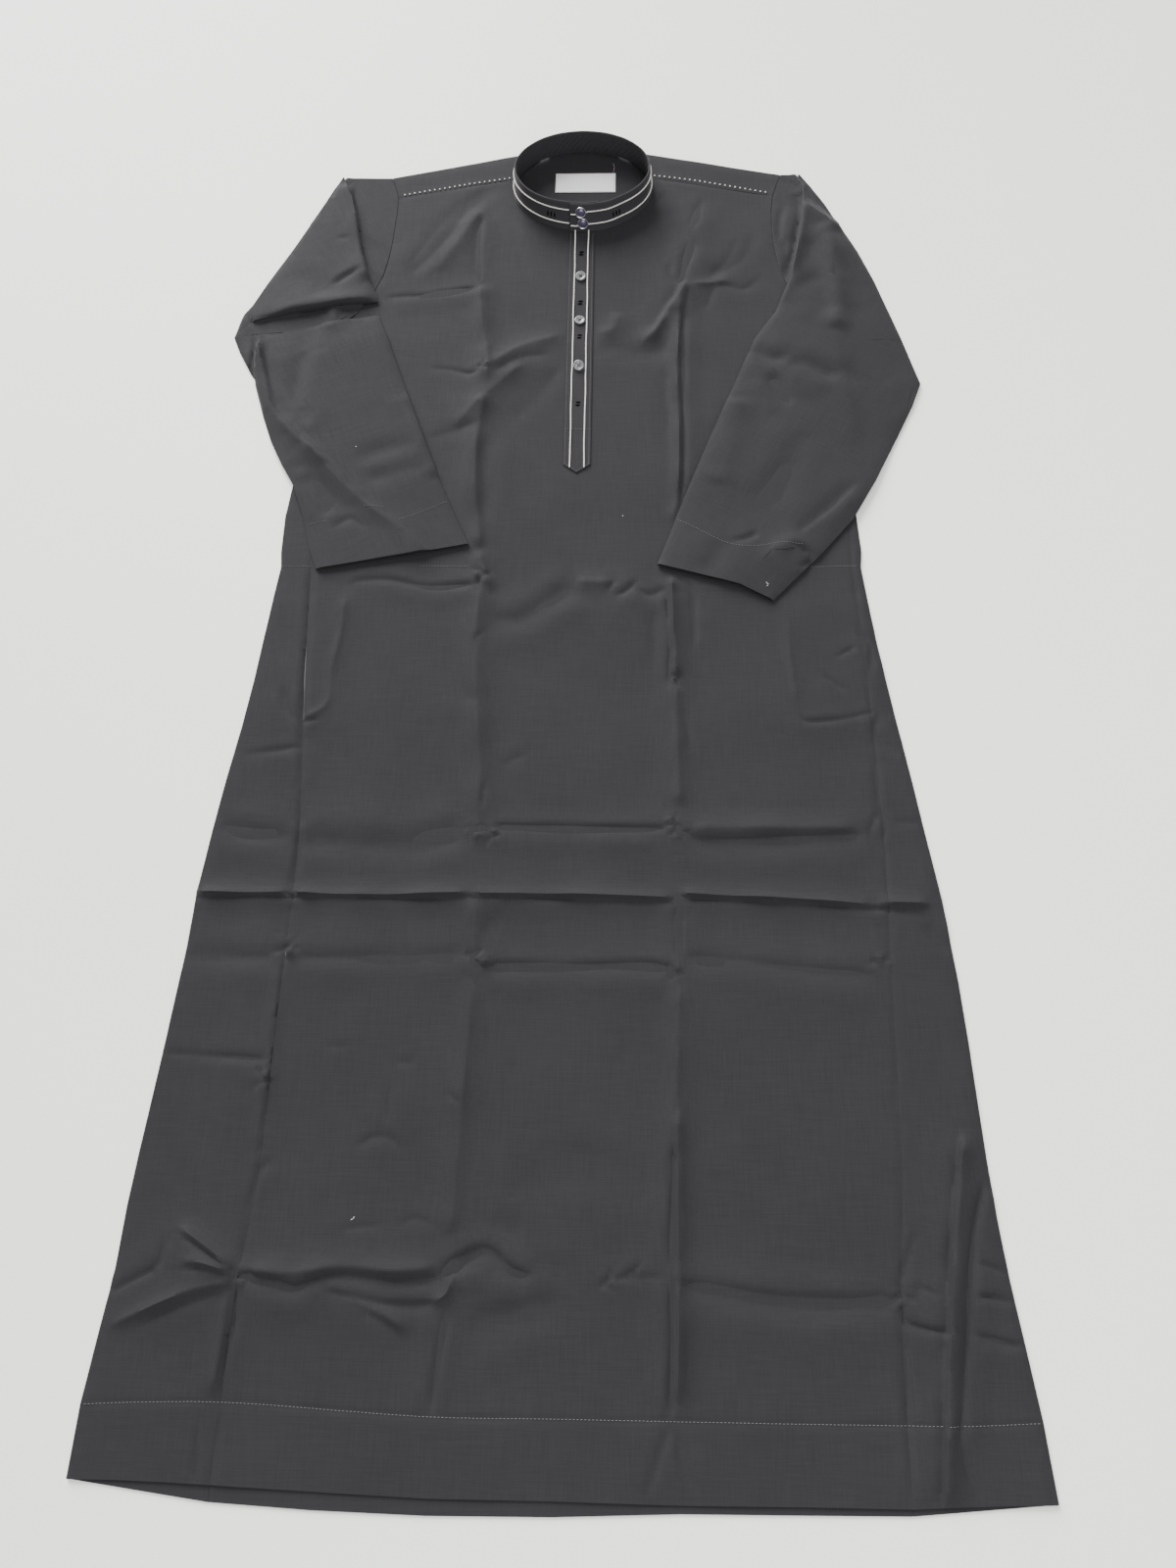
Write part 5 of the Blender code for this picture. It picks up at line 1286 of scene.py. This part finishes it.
def plain_material(name, color, roughness, metallic=0.0, coat=0.0, mottle=0.12, scale=900.0, specular=0.5):
    """Thread, resin, enamel or metal: its colour and roughness vary a little over the surface."""
    material, nodes, links, shader = principled(name)
    where = nodes.new("ShaderNodeTexCoord")
    noise = noise_node(nodes, links, where.outputs["Object"], scale, 3.0)
    swing = swing_node(nodes, links, noise, mottle)
    shade = math_node(nodes, links, "ADD", swing, 1.0)
    links.new(shaded_color(nodes, links, color, shade), shader.inputs["Base Color"])
    smoother = math_node(nodes, links, "MULTIPLY", swing, MOTTLE_ROUGHNESS)
    links.new(math_node(nodes, links, "ADD", smoother, roughness), shader.inputs["Roughness"])
    shader.inputs["Metallic"].default_value = metallic
    shader.inputs["Specular IOR Level"].default_value = specular
    shader.inputs["Coat Weight"].default_value = coat
    return material


def cloth_weave(turn=0.0):
    """The cloth's own weave, turned as a piece of it lies."""
    cloth = bpy.context.scene.kurta_cloth
    return Weave(cloth.thread_spacing, turn, cloth.slub, cloth.roughness, cloth.sheen, CLOTH_BUMP)


def cloth_material(name, turn=0.0):
    """The kurta's cloth."""
    color = bpy.context.scene.kurta_cloth.color
    return bpy.data.materials.get(name) or woven_material(name, color, cloth_weave(turn))


def painted_light_cloth(times):
    """The cloth's colour made lighter: painted light for faces that the lamps reach little."""
    return [share * times for share in bpy.context.scene.kurta_cloth.color]


def thread_material(name, color):
    """Matt thread."""
    found = bpy.data.materials.get(name)
    return found or plain_material(name, color, THREAD_ROUGHNESS, specular=THREAD_SPECULAR)


# Settings


class KurtaClothSettings(bpy.types.PropertyGroup):
    color: FloatVectorProperty(
        name="Colour", description="The cloth's colour", subtype="COLOR", size=3, min=0, max=1,
        default=(0.0232, 0.0225, 0.0247),
    )
    thread_spacing: FloatProperty(
        name="Thread spacing", description="From one thread of the weave to the next", unit="LENGTH",
        default=0.0006,
    )
    slub: FloatProperty(name="Slub", description="How much thick threads change the shade", default=0.30)
    roughness: FloatProperty(
        name="Roughness", description="The cloth's roughness", subtype="FACTOR", default=0.72, min=0, max=1
    )
    sheen: FloatProperty(
        name="Sheen", description="The cloth's sheen", subtype="FACTOR", default=0.10, min=0, max=1
    )
    crease_depth: FloatProperty(
        name="Crease depth", description="Multiplies every crease's height", default=2.9
    )
    swell: FloatProperty(
        name="Swell", description="Height of the cloth's soft unevenness", unit="LENGTH", default=0.0007
    )
    pucker: FloatProperty(
        name="Pucker", description="Height of the cloth's finest unevenness", unit="LENGTH", default=0.00006
    )
    spacing: FloatProperty(
        name="Mesh spacing", description="Longest edge of the fine cloth", unit="LENGTH", default=0.0075
    )


class KurtaTrimSettings(bpy.types.PropertyGroup):
    cord_color: FloatVectorProperty(
        name="Cord colour", description="Colour of the cords on collar and placket", subtype="COLOR", size=3,
        min=0, max=1, default=(0.76, 0.74, 0.70),
    )
    cord_diameter: FloatProperty(
        name="Cord diameter", description="Thickness of those cords", unit="LENGTH", default=0.0016
    )
    cord_pitch: FloatProperty(
        name="Cord pitch", description="Length of one turn of the cord's two plies", unit="LENGTH",
        default=0.0044,
    )
    bar_color: FloatVectorProperty(
        name="Bar colour", description="Colour of the short embroidered bars", subtype="COLOR", size=3,
        min=0, max=1, default=(0.0015, 0.0015, 0.0015),
    )
    seam_color: FloatVectorProperty(
        name="Seam thread", description="Colour of the thread in hems and seams", subtype="COLOR", size=3,
        min=0, max=1, default=(0.14, 0.14, 0.145),
    )
    saddle_length: FloatProperty(
        name="Saddle stitch", description="Length of a white stitch on the shoulders", unit="LENGTH",
        default=0.0023,
    )
    saddle_pitch: FloatProperty(
        name="Saddle pitch", description="From one white stitch to the next", unit="LENGTH", default=0.0062
    )


class KurtaFasteningSettings(bpy.types.PropertyGroup):
    button_color: FloatVectorProperty(
        name="Button colour", description="Colour of the buttons", subtype="COLOR", size=3, min=0, max=1,
        default=(0.175, 0.175, 0.18),
    )
    enamel_color: FloatVectorProperty(
        name="Enamel colour", description="Colour of the snaps' domes", subtype="COLOR", size=3, min=0, max=1,
        default=(0.050, 0.040, 0.085),
    )
    metal_color: FloatVectorProperty(
        name="Rim colour", description="Colour of the snaps' rims", subtype="COLOR", size=3, min=0, max=1,
        default=(0.72, 0.72, 0.74),
    )
    label_color: FloatVectorProperty(
        name="Label colour", description="Colour of the bare label", subtype="COLOR", size=3, min=0, max=1,
        default=(0.66, 0.68, 0.67),
    )
    label_edge_color: FloatVectorProperty(
        name="Label edge colour", description="Colour of the threads round the label", subtype="COLOR",
        size=3, min=0, max=1, default=(0.50, 0.34, 0.35),
    )


class KurtaStageSettings(bpy.types.PropertyGroup):
    floor_color: FloatVectorProperty(
        name="Floor colour", description="Colour of the pale floor", subtype="COLOR", size=3, min=0, max=1,
        default=(0.92, 0.92, 0.88),
    )
    key_energy: FloatProperty(
        name="Key light", description="Power of the main soft light", unit="POWER", default=3300.0
    )
    top_energy: FloatProperty(
        name="Top light", description="Power of the light above the chest", unit="POWER", default=30.0
    )
    fill_energy: FloatProperty(
        name="Fill light", description="Power of the light at the hem's side", unit="POWER", default=55.0
    )
    world: FloatProperty(name="World", description="Strength of the even light all round", default=0.39)


# Pieces

BODY_CREASES = PRESS_FOLDS + CHEST_FOLDS + WAIST_FOLDS + CROSS_FOLDS + SKIRT_FOLDS
BODY_CREASES += [crease for knot in KNOTS for crease in knot_creases(knot)]
# Each sleeve's turn of the weave, its creases, its flat width and length in metres,
# and its area in square metres, of the cut that shows
SLEEVES = {
    "left": (radians(-24), LEFT_SLEEVE_CREASES, (0.290, 0.560), 0.122),
    "right": (radians(28), RIGHT_SLEEVE_CREASES, (0.300, 0.600), 0.140),
}


def finished(name, bm, node, material):
    """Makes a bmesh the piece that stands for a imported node."""
    piece = link(name, to_mesh(bm, name), material)
    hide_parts(node)
    return piece


class KURTA_OT_body(bpy.types.Operator):
    """Make the front, back, gores, yokes and pocket bags"""

    bl_idname = "kurta.body"
    bl_label = "Body panels"

    def execute(self, context):
        covers = [node_tree(n) for n in ("sleeve_left", "sleeve_right", "placket", "collar")]
        cloth = cloth_material("woven_charcoal")
        for node in UPPER_PANELS:
            bm = copy_of(node)
            inner, rim = resurface(bm, node, BODY_CREASES, PANEL_SPACING)
            crease_up(inner, BODY_CREASES, covers, floor=LAYER_FLOOR)
            crease_up(rim, BODY_CREASES, covers, floor=LAYER_FLOOR)
            keep_wall(rim)
            close_seams(bm, rim)
            piece = finished(node + "_cloth", bm, node, cloth)
        bm = copy_of("back_panel")
        inner, _ = resurface(bm, "back_panel", [], BACK_SPACING, low=0.0)
        crease_up(inner, [], share=BACK_SHARE)
        inner, _ = resurface(bm, "back_panel", UNDERSIDE_CREASES, BACK_SPACING, side=-1)
        crease_up(inner, UNDERSIDE_CREASES, least=0.0)
        piece = finished("back_panel_cloth", bm, "back_panel", cloth)
        pocketing = woven_material("pocketing", POCKETING_COLOR, POCKETING_WEAVE)
        for node in ("pocket_left", "pocket_right"):
            bm = copy_of(node)
            resurface(bm, node, [], POCKET_SPACING, low=POCKET_LAYER)
            piece = finished(node + "_bag", bm, node, pocketing)
        return {"FINISHED"}


class KURTA_OT_sleeves(bpy.types.Operator):
    """Make the two folded sleeves"""

    bl_idname = "kurta.sleeves"
    bl_label = "Sleeves"

    def execute(self, context):
        for side, (turn, creases, flat, area) in SLEEVES.items():
            node = "sleeve_" + side
            bm = refined(node, context.scene.kurta_cloth.spacing)
            soften(bm, upper_verts(bm)[0], SLEEVE_PASSES[0])
            closer_at(bm, [curve_through(crease.points) for crease in creases], SLEEVE_FINE_SPACING)
            inner, rim = upper_verts(bm)
            soften(bm, inner, SLEEVE_PASSES[1])
            crease_up(inner, creases, floor=SLEEVE_FLOOR, deeper=SLEEVE_DEPTH)
            crease_up(rim, creases, least=SLEEVE_RIM_LEAST, deeper=SLEEVE_DEPTH)
            close_seams(bm, rim)
            piece = finished(node + "_cloth", bm, node, cloth_material("woven_charcoal_" + side, turn))
        return {"FINISHED"}


def collar_radii(rise, lap=0.0):
    """The collar's half width and half depth at a share of its height, and how far up its middle is."""
    a = COLLAR_FOOT[0] + (COLLAR_RIM[0] - COLLAR_FOOT[0]) * rise + lap
    b = COLLAR_FOOT[1] + (COLLAR_RIM[1] - COLLAR_FOOT[1]) * rise + lap
    return a, b, COLLAR_UP + COLLAR_RIM_SHIFT * rise


def collar_rise(z):
    """The share of the collar's height at a height."""
    return (z - COLLAR_LOW) / (COLLAR_HEIGHT - COLLAR_LOW)


def round_collar(angle, rise, z, lap):
    """A point round the collar's middle at an angle from the front."""
    a, b, centre = collar_radii(rise, lap)
    return Vector((a * sin(angle), centre - b * cos(angle) - MID_LENGTH, z))


def collar_point(angle, z, out):
    """A point of the collar's outer face at an angle from the front and a height, moved out from it."""
    lap = COLLAR_LAP * float(smooth(*COLLAR_LAP_ANGLES, angle))
    return round_collar(angle, collar_rise(z), z, lap + out)


def collar_normal(angle):
    """The way out of the collar at half its height."""
    a, b, _ = collar_radii(0.5)
    return Vector((sin(angle) / a, -cos(angle) / b, 0.0)).normalized()


def collar_ripple(angle, z, lined):
    """How far the collar's face wanders out: a little outside, in slanted ribs inside."""
    run = angle * COLLAR_FOOT[0]
    if not lined:
        (wide, long), (fine, short) = COLLAR_WANDER
        return wide * sin(run / long) + fine * sin(run / short + COLLAR_WANDER_SLANT * z)
    inside = float(smooth(*LINING_TOP, z) * smooth(*LINING_FOOT, z))
    (wide, long), (fine, short) = LINING_WANDER
    wander = wide * sin(run / long) + fine * sin(run / short)
    return -LINING_RIPPLE * inside * sin((run + LINING_SLANT * z) * 2 * pi / LINING_WAVE + wander)


def collar_cord_height(label, angle):
    """A cord's height: it goes from each of its heights to the next between two angles."""
    heights = COLLAR_CORD_RISE[label]
    z = heights[0]
    for before, after, ease in zip(heights, heights[1:], COLLAR_CORD_EASES):
        z += (after - before) * float(smooth(*ease, angle))
    return z


def collar_band_mesh():
    """The collar's band, with its outer cloth and its lining as two materials."""
    vertices, faces, lined = [], [], []
    for step in range(COLLAR_STEPS + 1):
        angle = COLLAR_START + (COLLAR_END - COLLAR_START) * step / COLLAR_STEPS
        foot = COLLAR_STAND if cos(angle) > cos(COLLAR_STANDS_TO) else COLLAR_LOW
        for number, (share, down) in enumerate(COLLAR_PROFILE):
            z = foot if down is None else COLLAR_HEIGHT - down * MM
            ripple = collar_ripple(angle, z, number > COLLAR_LINED_FROM)
            vertices.append(collar_point(angle, z, ripple - share * COLLAR_WALL))
    count = len(COLLAR_PROFILE)
    for step in range(COLLAR_STEPS):
        for k in range(count):
            n = (k + 1) % count
            a, b = step * count, (step + 1) * count
            faces.append((a + n, b + n, b + k, a + k))
            lined.append(COLLAR_LINED_FROM <= k < count - 1)
    faces.append(tuple(range(count)))
    last = COLLAR_STEPS * count
    faces.append(tuple(reversed(range(last, last + count))))
    mesh = mesh_from("collar_band", vertices, faces)
    mesh.set_sharp_from_angle(angle=CLOTH_SHARP)
    return mesh, lined


class KURTA_OT_collar(bpy.types.Operator):
    """Make the standing collar, its cords, its embroidered bars and the stitches at its foot"""

    bl_idname = "kurta.collar"
    bl_label = "Collar"

    def execute(self, context):
        trim = context.scene.kurta_trim
        mesh, lined = collar_band_mesh()
        # The band's colour is the cloth's, lightened: painted light on its upright face, which the lamps
        # reach little.
        outside = woven_material("collar_outside", painted_light_cloth(BAND_PAINTED_LIGHT), cloth_weave())
        piece = link("collar_band", mesh, outside)
        # The lining's colour is the cloth's, lightened: painted light in the collar's shade.
        mesh.materials.append(woven_material("collar_lining", painted_light_cloth(LINING_PAINTED_LIGHT), LINING_WEAVE))
        for polygon, is_lined in zip(mesh.polygons, lined):
            polygon.material_index = int(is_lined)
        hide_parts("collar")
        cord = thread_material("cord_white", trim.cord_color)
        radius = trim.cord_diameter / 2
        angles = np.arange(*COLLAR_CORD_ANGLES, -COLLAR_CORD_STEP)
        normals = [collar_normal(a) for a in angles]
        for label in COLLAR_CORD_RISE:
            seat = radius * COLLAR_CORD_SEAT
            path = [collar_point(a, collar_cord_height(label, a), seat) for a in angles]
            name = "collar_cord_" + label
            link(name, twisted_cord(name, path, normals, radius, trim.cord_pitch), cord)
        bars = []
        for middle in COLLAR_BARS:
            for k in (-1, 0, 1):
                angle = middle + k * COLLAR_BAR_TURN
                ends = [collar_point(angle, z, ON_CLOTH) for z in COLLAR_BAR_Z]
                bars.append((*ends, collar_normal(angle)))
        black = thread_material("bar_black", trim.bar_color)
        link("collar_bars", stitch_mesh("collar_bars", bars, BAR_WIDTH * MM, BAR_BOW), black)
        seam = []
        for k in range(NECK_STITCHES):
            ends = [radians(90 + 180 * (k + share) / NECK_STITCHES) for share in (0.0, NECK_STITCH_SHARE)]
            lap = -COLLAR_WALL - NECK_FOOT_INSET
            points = [round_collar(angle, 0.0, WALL + ON_CLOTH, lap) for angle in ends]
            seam.append((*points, (0, 0, 1)))
        thread = thread_material("neck_thread", DARK_THREAD_COLOR)
        link("neck_seam_stitches", stitch_mesh("neck_seam_stitches", seam, NECK_STITCH_WIDTH), thread)
        return {"FINISHED"}


class KURTA_OT_placket(bpy.types.Operator):
    """Make the placket with its two cords, its bars and the stitches that hold it"""

    bl_idname = "kurta.placket"
    bl_label = "Placket"

    def execute(self, context):
        trim = context.scene.kurta_trim
        bm = copy_of("placket")
        sides = [[a, b] for a, b in zip(PLACKET_EDGE, PLACKET_EDGE[1:])]
        creases = [Crease(*PLACKET_EDGE_CREASE, side) for side in sides]
        inner, rim = resurface(bm, "placket", creases, PLACKET_SPACING)
        crease_up(inner, creases, share=PLACKET_SHARE)
        crease_up(rim, [], share=PLACKET_RIM_SHARE)
        piece = finished("placket_cloth", bm, "placket", cloth_material("woven_charcoal"))
        tree = ground_tree([piece.name])
        cord = thread_material("cord_white", trim.cord_color)
        radius = trim.cord_diameter / 2
        for side, across in PLACKET_CORDS.items():
            ups = np.arange(*PLACKET_CORD_UPS, PLACKET_CORD_STEP)
            (wide, long), (fine, short) = PLACKET_CORD_WANDER
            wander = wide * np.sin(ups / long + across) + fine * np.sin(ups / short)
            level = PLACKET_TOP + radius * PLACKET_CORD_SEAT
            path = [place(across + w, up, level) for up, w in zip(ups, wander)]
            name = "placket_cord_" + side
            link(name, twisted_cord(name, path, [(0, 0, 1)] * len(path), radius, trim.cord_pitch), cord)
        bars = []
        for up in PLACKET_BARS_UP:
            for off, shift in ((BAR_GAP / 2, BAR_SHIFT), (-BAR_GAP / 2, -BAR_SHIFT)):
                start = place(shift - BAR_LENGTH / 2, up + off, PLACKET_TOP)
                end = place(shift + BAR_LENGTH / 2, up + off + BAR_SHIFT, PLACKET_TOP)
                bars.append((start, end, (0, 0, 1)))
        black = thread_material("bar_black", trim.bar_color)
        link("placket_bars", stitch_mesh("placket_bars", bars, BAR_WIDTH * MM, BAR_BOW), black)
        thread = thread_material("seam_thread", trim.seam_color)
        sewn("placket_stitches", tree, PLACKET_CROSS_LINES + sides, PLACKET_STITCH, thread)
        return {"FINISHED"}


class KURTA_OT_stitching(bpy.types.Operator):
    """Make the stitches of shoulders, hem, waist and cuffs, the loose threads and the armholes' threads"""

    bl_idname = "kurta.stitching"
    bl_label = "Stitching"

    def execute(self, context):
        trim = context.scene.kurta_trim
        body = ground_tree([node + "_cloth" for node in UPPER_PANELS])
        left, right = (ground_tree(["sleeve_" + side + "_cloth"]) for side in ("left", "right"))
        highest = ground_tree(["front_panel_cloth", "sleeve_left_cloth", "sleeve_right_cloth"])
        white = thread_material("cord_white", trim.cord_color)
        thread = thread_material("seam_thread", trim.seam_color)
        dark = thread_material("armhole_thread", DARK_THREAD_COLOR)
        saddle = Stitch(trim.saddle_length, trim.saddle_pitch - trim.saddle_length, SADDLE_WIDTH)
        sewn("saddle_stitches", body, SADDLE_LINES, saddle, white)
        sewn("loose_threads", highest, LOOSE_THREADS, LOOSE_STITCH, white)
        sewn("hem_stitches", body, [curve_through(HEM_LINE)] + WAIST_LINES, HEM_STITCH, thread)
        sewn("cuff_left_stitches", left, LEFT_CUFF_LINES, HEM_STITCH, thread)
        sewn("cuff_right_stitches", right, [curve_through(RIGHT_CUFF_LINE)], HEM_STITCH, thread)
        for side, line in ARMHOLES.items():
            places = spaced(np.array(line) * MM, ARMHOLE_THREAD_STEP)
            path = [(x, y - MID_LENGTH, ARMHOLE_THREAD_LEVEL) for x, y in places]
            normals = [(0, 0, 1)] * len(path)
            name = "armhole_thread_" + side
            link(name, twisted_cord(name, path, normals, ARMHOLE_THREAD_RADIUS, ARMHOLE_THREAD_PITCH), dark)
        return {"FINISHED"}


def make_buttons(pearl, black):
    """The placket's buttons, each with its crossed thread and its shank."""
    across, level = BUTTON_HOLE_OFFSET, BUTTON_THICK * BUTTON_THREAD_RISE
    profile = [(r * BUTTON_RADIUS, z * BUTTON_THICK) for r, z in BUTTON_PROFILE]
    for number, (up, tilt) in enumerate(zip(BUTTON_UPS, BUTTON_TILTS), 1):
        seat = place(0, up, BUTTON_SEAT + BUTTON_RADIUS * sin(tilt))
        matrix = Matrix.Translation(seat) @ Matrix.Rotation(tilt, 4, "X")
        mesh = pierced(lathe("button", profile, matrix, BUTTON_SIDES), matrix)
        piece = link(f"button_{number}_disc", mesh, pearl)
        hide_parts(f"button_{number}")
        stitches = []
        for a, b in (((-across, -across), (across, across)), ((-across, across), (across, -across))):
            start, end = (matrix @ Vector((x, y, level)) for x, y in (a, b))
            stitches.append((start, end, matrix.to_3x3() @ Vector((0, 0, 1))))
        shank = matrix @ Vector((0, 0, 0))
        top = shank + Vector((0, 0, BUTTON_SHANK_RISE))
        stitches.append((Vector((shank.x, shank.y, PLACKET_TOP)), top, (0, 1, 0)))
        link(f"button_{number}_thread", stitch_mesh("button_thread", stitches, BUTTON_THREAD_WIDTH), black)


def make_snaps(enamel, metal):
    """The collar's snaps, each a dome in a rim, square to the leaning collar."""
    lean = atan2(COLLAR_FOOT[1] - COLLAR_RIM[1] + COLLAR_RIM_SHIFT, COLLAR_HEIGHT - COLLAR_LOW)
    for label, (across, height) in SNAPS.items():
        rise = collar_rise(height)
        angle = across / collar_radii(rise, COLLAR_LAP)[0]
        out = Vector((sin(angle), -cos(angle) * cos(lean), sin(lean))).normalized()
        at = round_collar(angle, rise, height, COLLAR_LAP) + out * SNAP_SEAT
        matrix = Matrix.Translation(at) @ out.to_track_quat("Z", "Y").to_matrix().to_4x4()
        for part, shape, material in (("rim", SNAP_RIM_PROFILE, metal), ("dome", SNAP_DOME_PROFILE, enamel)):
            profile = [(r * SNAP_RADIUS, z * SNAP_HEIGHT) for r, z in shape]
            name = f"snap_{label}_{part}"
            piece = link(name, lathe(name, profile, matrix, SNAP_SIDES), material)
            if part == "rim":
                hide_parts("snap_" + label)


def make_label(tape, edge_thread):
    """The bare neck label, sewn down on all four sides, with a loose thread end above it."""
    bm = copy_of("neck_label")
    inner, _ = resurface(bm, "neck_label", [], LABEL_SPACING)
    crease_up(inner, [], share=LABEL_SHARE)
    piece = finished("neck_label_tape", bm, "neck_label", tape)
    tree, back = ground_tree([piece.name]), ground_tree(["back_panel_cloth"])
    (x, up), (width, length) = LABEL_AT, LABEL_SIZE
    left, right, low, high = x - width / 2, x + width / 2, up - length / 2, up + length / 2
    lines = []
    for edge in (high - LABEL_INSET, low + LABEL_INSET):
        lines.append([(left + LABEL_INSET, edge), (right - LABEL_INSET, edge)])
    for edge in (left + LABEL_INSET, right - LABEL_RIGHT_INSET):
        lines.append([(edge, low + LABEL_CORNER_INSET), (edge, high - LABEL_CORNER_INSET)])
    stitches = [s for line in lines for s in stitches_on(tree, line, LABEL_STITCH.length, LABEL_STITCH.gap)]
    stitches += stitches_on(back, LABEL_THREAD, LABEL_THREAD_STITCH, 0.0)
    link("label_stitches", stitch_mesh("label_stitches", stitches, LABEL_STITCH.width), edge_thread)


class KURTA_OT_fastenings(bpy.types.Operator):
    """Make the sewn buttons, the snaps and the bare label"""

    bl_idname = "kurta.fastenings"
    bl_label = "Fastenings"

    def execute(self, context):
        colors = context.scene.kurta_fastenings
        pearl = plain_material(
            "button_pearl", colors.button_color, roughness=0.30, coat=0.5, mottle=0.5, scale=420.0
        )
        make_buttons(pearl, thread_material("bar_black", context.scene.kurta_trim.bar_color))
        enamel = plain_material(
            "snap_enamel", colors.enamel_color, roughness=0.16, coat=0.8, mottle=0.7, scale=500.0
        )
        metal = plain_material("snap_metal", colors.metal_color, roughness=0.22, metallic=1.0, mottle=0.1)
        make_snaps(enamel, metal)
        tape = woven_material("label_white", colors.label_color, LABEL_WEAVE)
        make_label(tape, thread_material("label_thread", colors.label_edge_color))
        return {"FINISHED"}


class KURTA_OT_stage(bpy.types.Operator):
    """Make the floor, the soft lights and the camera"""

    bl_idname = "kurta.stage"
    bl_label = "Stage"

    def execute(self, context):
        stage = context.scene.kurta_stage
        bpy.ops.mesh.primitive_plane_add(size=FLOOR_SIZE, location=(0, 0, FLOOR_LEVEL))
        floor = context.active_object
        floor.name = "floor"
        pale = plain_material("pale_floor", stage.floor_color, roughness=0.55, mottle=0.02, scale=6.0)
        floor.data.materials.append(pale)
        world = bpy.data.worlds.new("soft_studio")
        world.use_nodes = True
        background = world.node_tree.nodes["Background"]
        background.inputs["Color"].default_value = WORLD_COLOR
        background.inputs["Strength"].default_value = stage.world
        context.scene.world = world
        for name, (size, at) in LIGHTS.items():
            data = bpy.data.lights.new(name, "AREA")
            data.energy = getattr(stage, name + "_energy")
            data.size = size
            light = bpy.data.objects.new(name, data)
            light.location = at
            light.rotation_euler = (-Vector(at)).to_track_quat("-Z", "Y").to_euler()
            context.scene.collection.objects.link(light)
        data = bpy.data.cameras.new("camera")
        data.lens = CAMERA_LENS
        data.sensor_width = CAMERA_SENSOR
        camera = bpy.data.objects.new("camera", data)
        level = cos(CAMERA_PITCH)
        ahead = Vector((sin(CAMERA_YAW) * level, cos(CAMERA_YAW) * level, -sin(CAMERA_PITCH)))
        right = Vector((cos(CAMERA_YAW), -sin(CAMERA_YAW), 0.0))
        down = ahead.cross(right)
        turned_right = right * cos(CAMERA_ROLL) + down * sin(CAMERA_ROLL)
        turned_down = down * cos(CAMERA_ROLL) - right * sin(CAMERA_ROLL)
        turn = Matrix((turned_right, -turned_down, -ahead)).transposed()
        camera.matrix_world = Matrix.Translation(CAMERA_AT) @ turn.to_4x4()
        context.scene.collection.objects.link(camera)
        context.scene.camera = camera
        return {"FINISHED"}


class KURTA_PT_panel(bpy.types.Panel):
    """The kurta's pieces and settings"""

    bl_idname = "KURTA_PT_panel"
    bl_label = "Kurta"
    bl_space_type = "VIEW_3D"
    bl_region_type = "UI"
    bl_category = "Kurta"

    def draw(self, context):
        for operator in OPERATORS:
            self.layout.operator(operator.bl_idname)


SETTINGS = {
    "kurta_cloth": KurtaClothSettings,
    "kurta_trim": KurtaTrimSettings,
    "kurta_fastenings": KurtaFasteningSettings,
    "kurta_stage": KurtaStageSettings,
}
OPERATORS = (
    KURTA_OT_body,
    KURTA_OT_sleeves,
    KURTA_OT_collar,
    KURTA_OT_placket,
    KURTA_OT_stitching,
    KURTA_OT_fastenings,
    KURTA_OT_stage,
)


def register():
    for name, group in SETTINGS.items():
        bpy.utils.register_class(group)
        setattr(bpy.types.Scene, name, PointerProperty(type=group))
    for operator in OPERATORS:
        bpy.utils.register_class(operator)
    bpy.utils.register_class(KURTA_PT_panel)


def unregister():
    bpy.utils.unregister_class(KURTA_PT_panel)
    for operator in reversed(OPERATORS):
        bpy.utils.unregister_class(operator)
    for name, group in SETTINGS.items():
        delattr(bpy.types.Scene, name)
        bpy.utils.unregister_class(group)


def main():
    register()
    bpy.ops.kurta.body()
    bpy.ops.kurta.sleeves()
    bpy.ops.kurta.collar()
    bpy.ops.kurta.placket()
    bpy.ops.kurta.stitching()
    bpy.ops.kurta.fastenings()
    bpy.ops.kurta.stage()


if __name__ == "__main__":
    main()
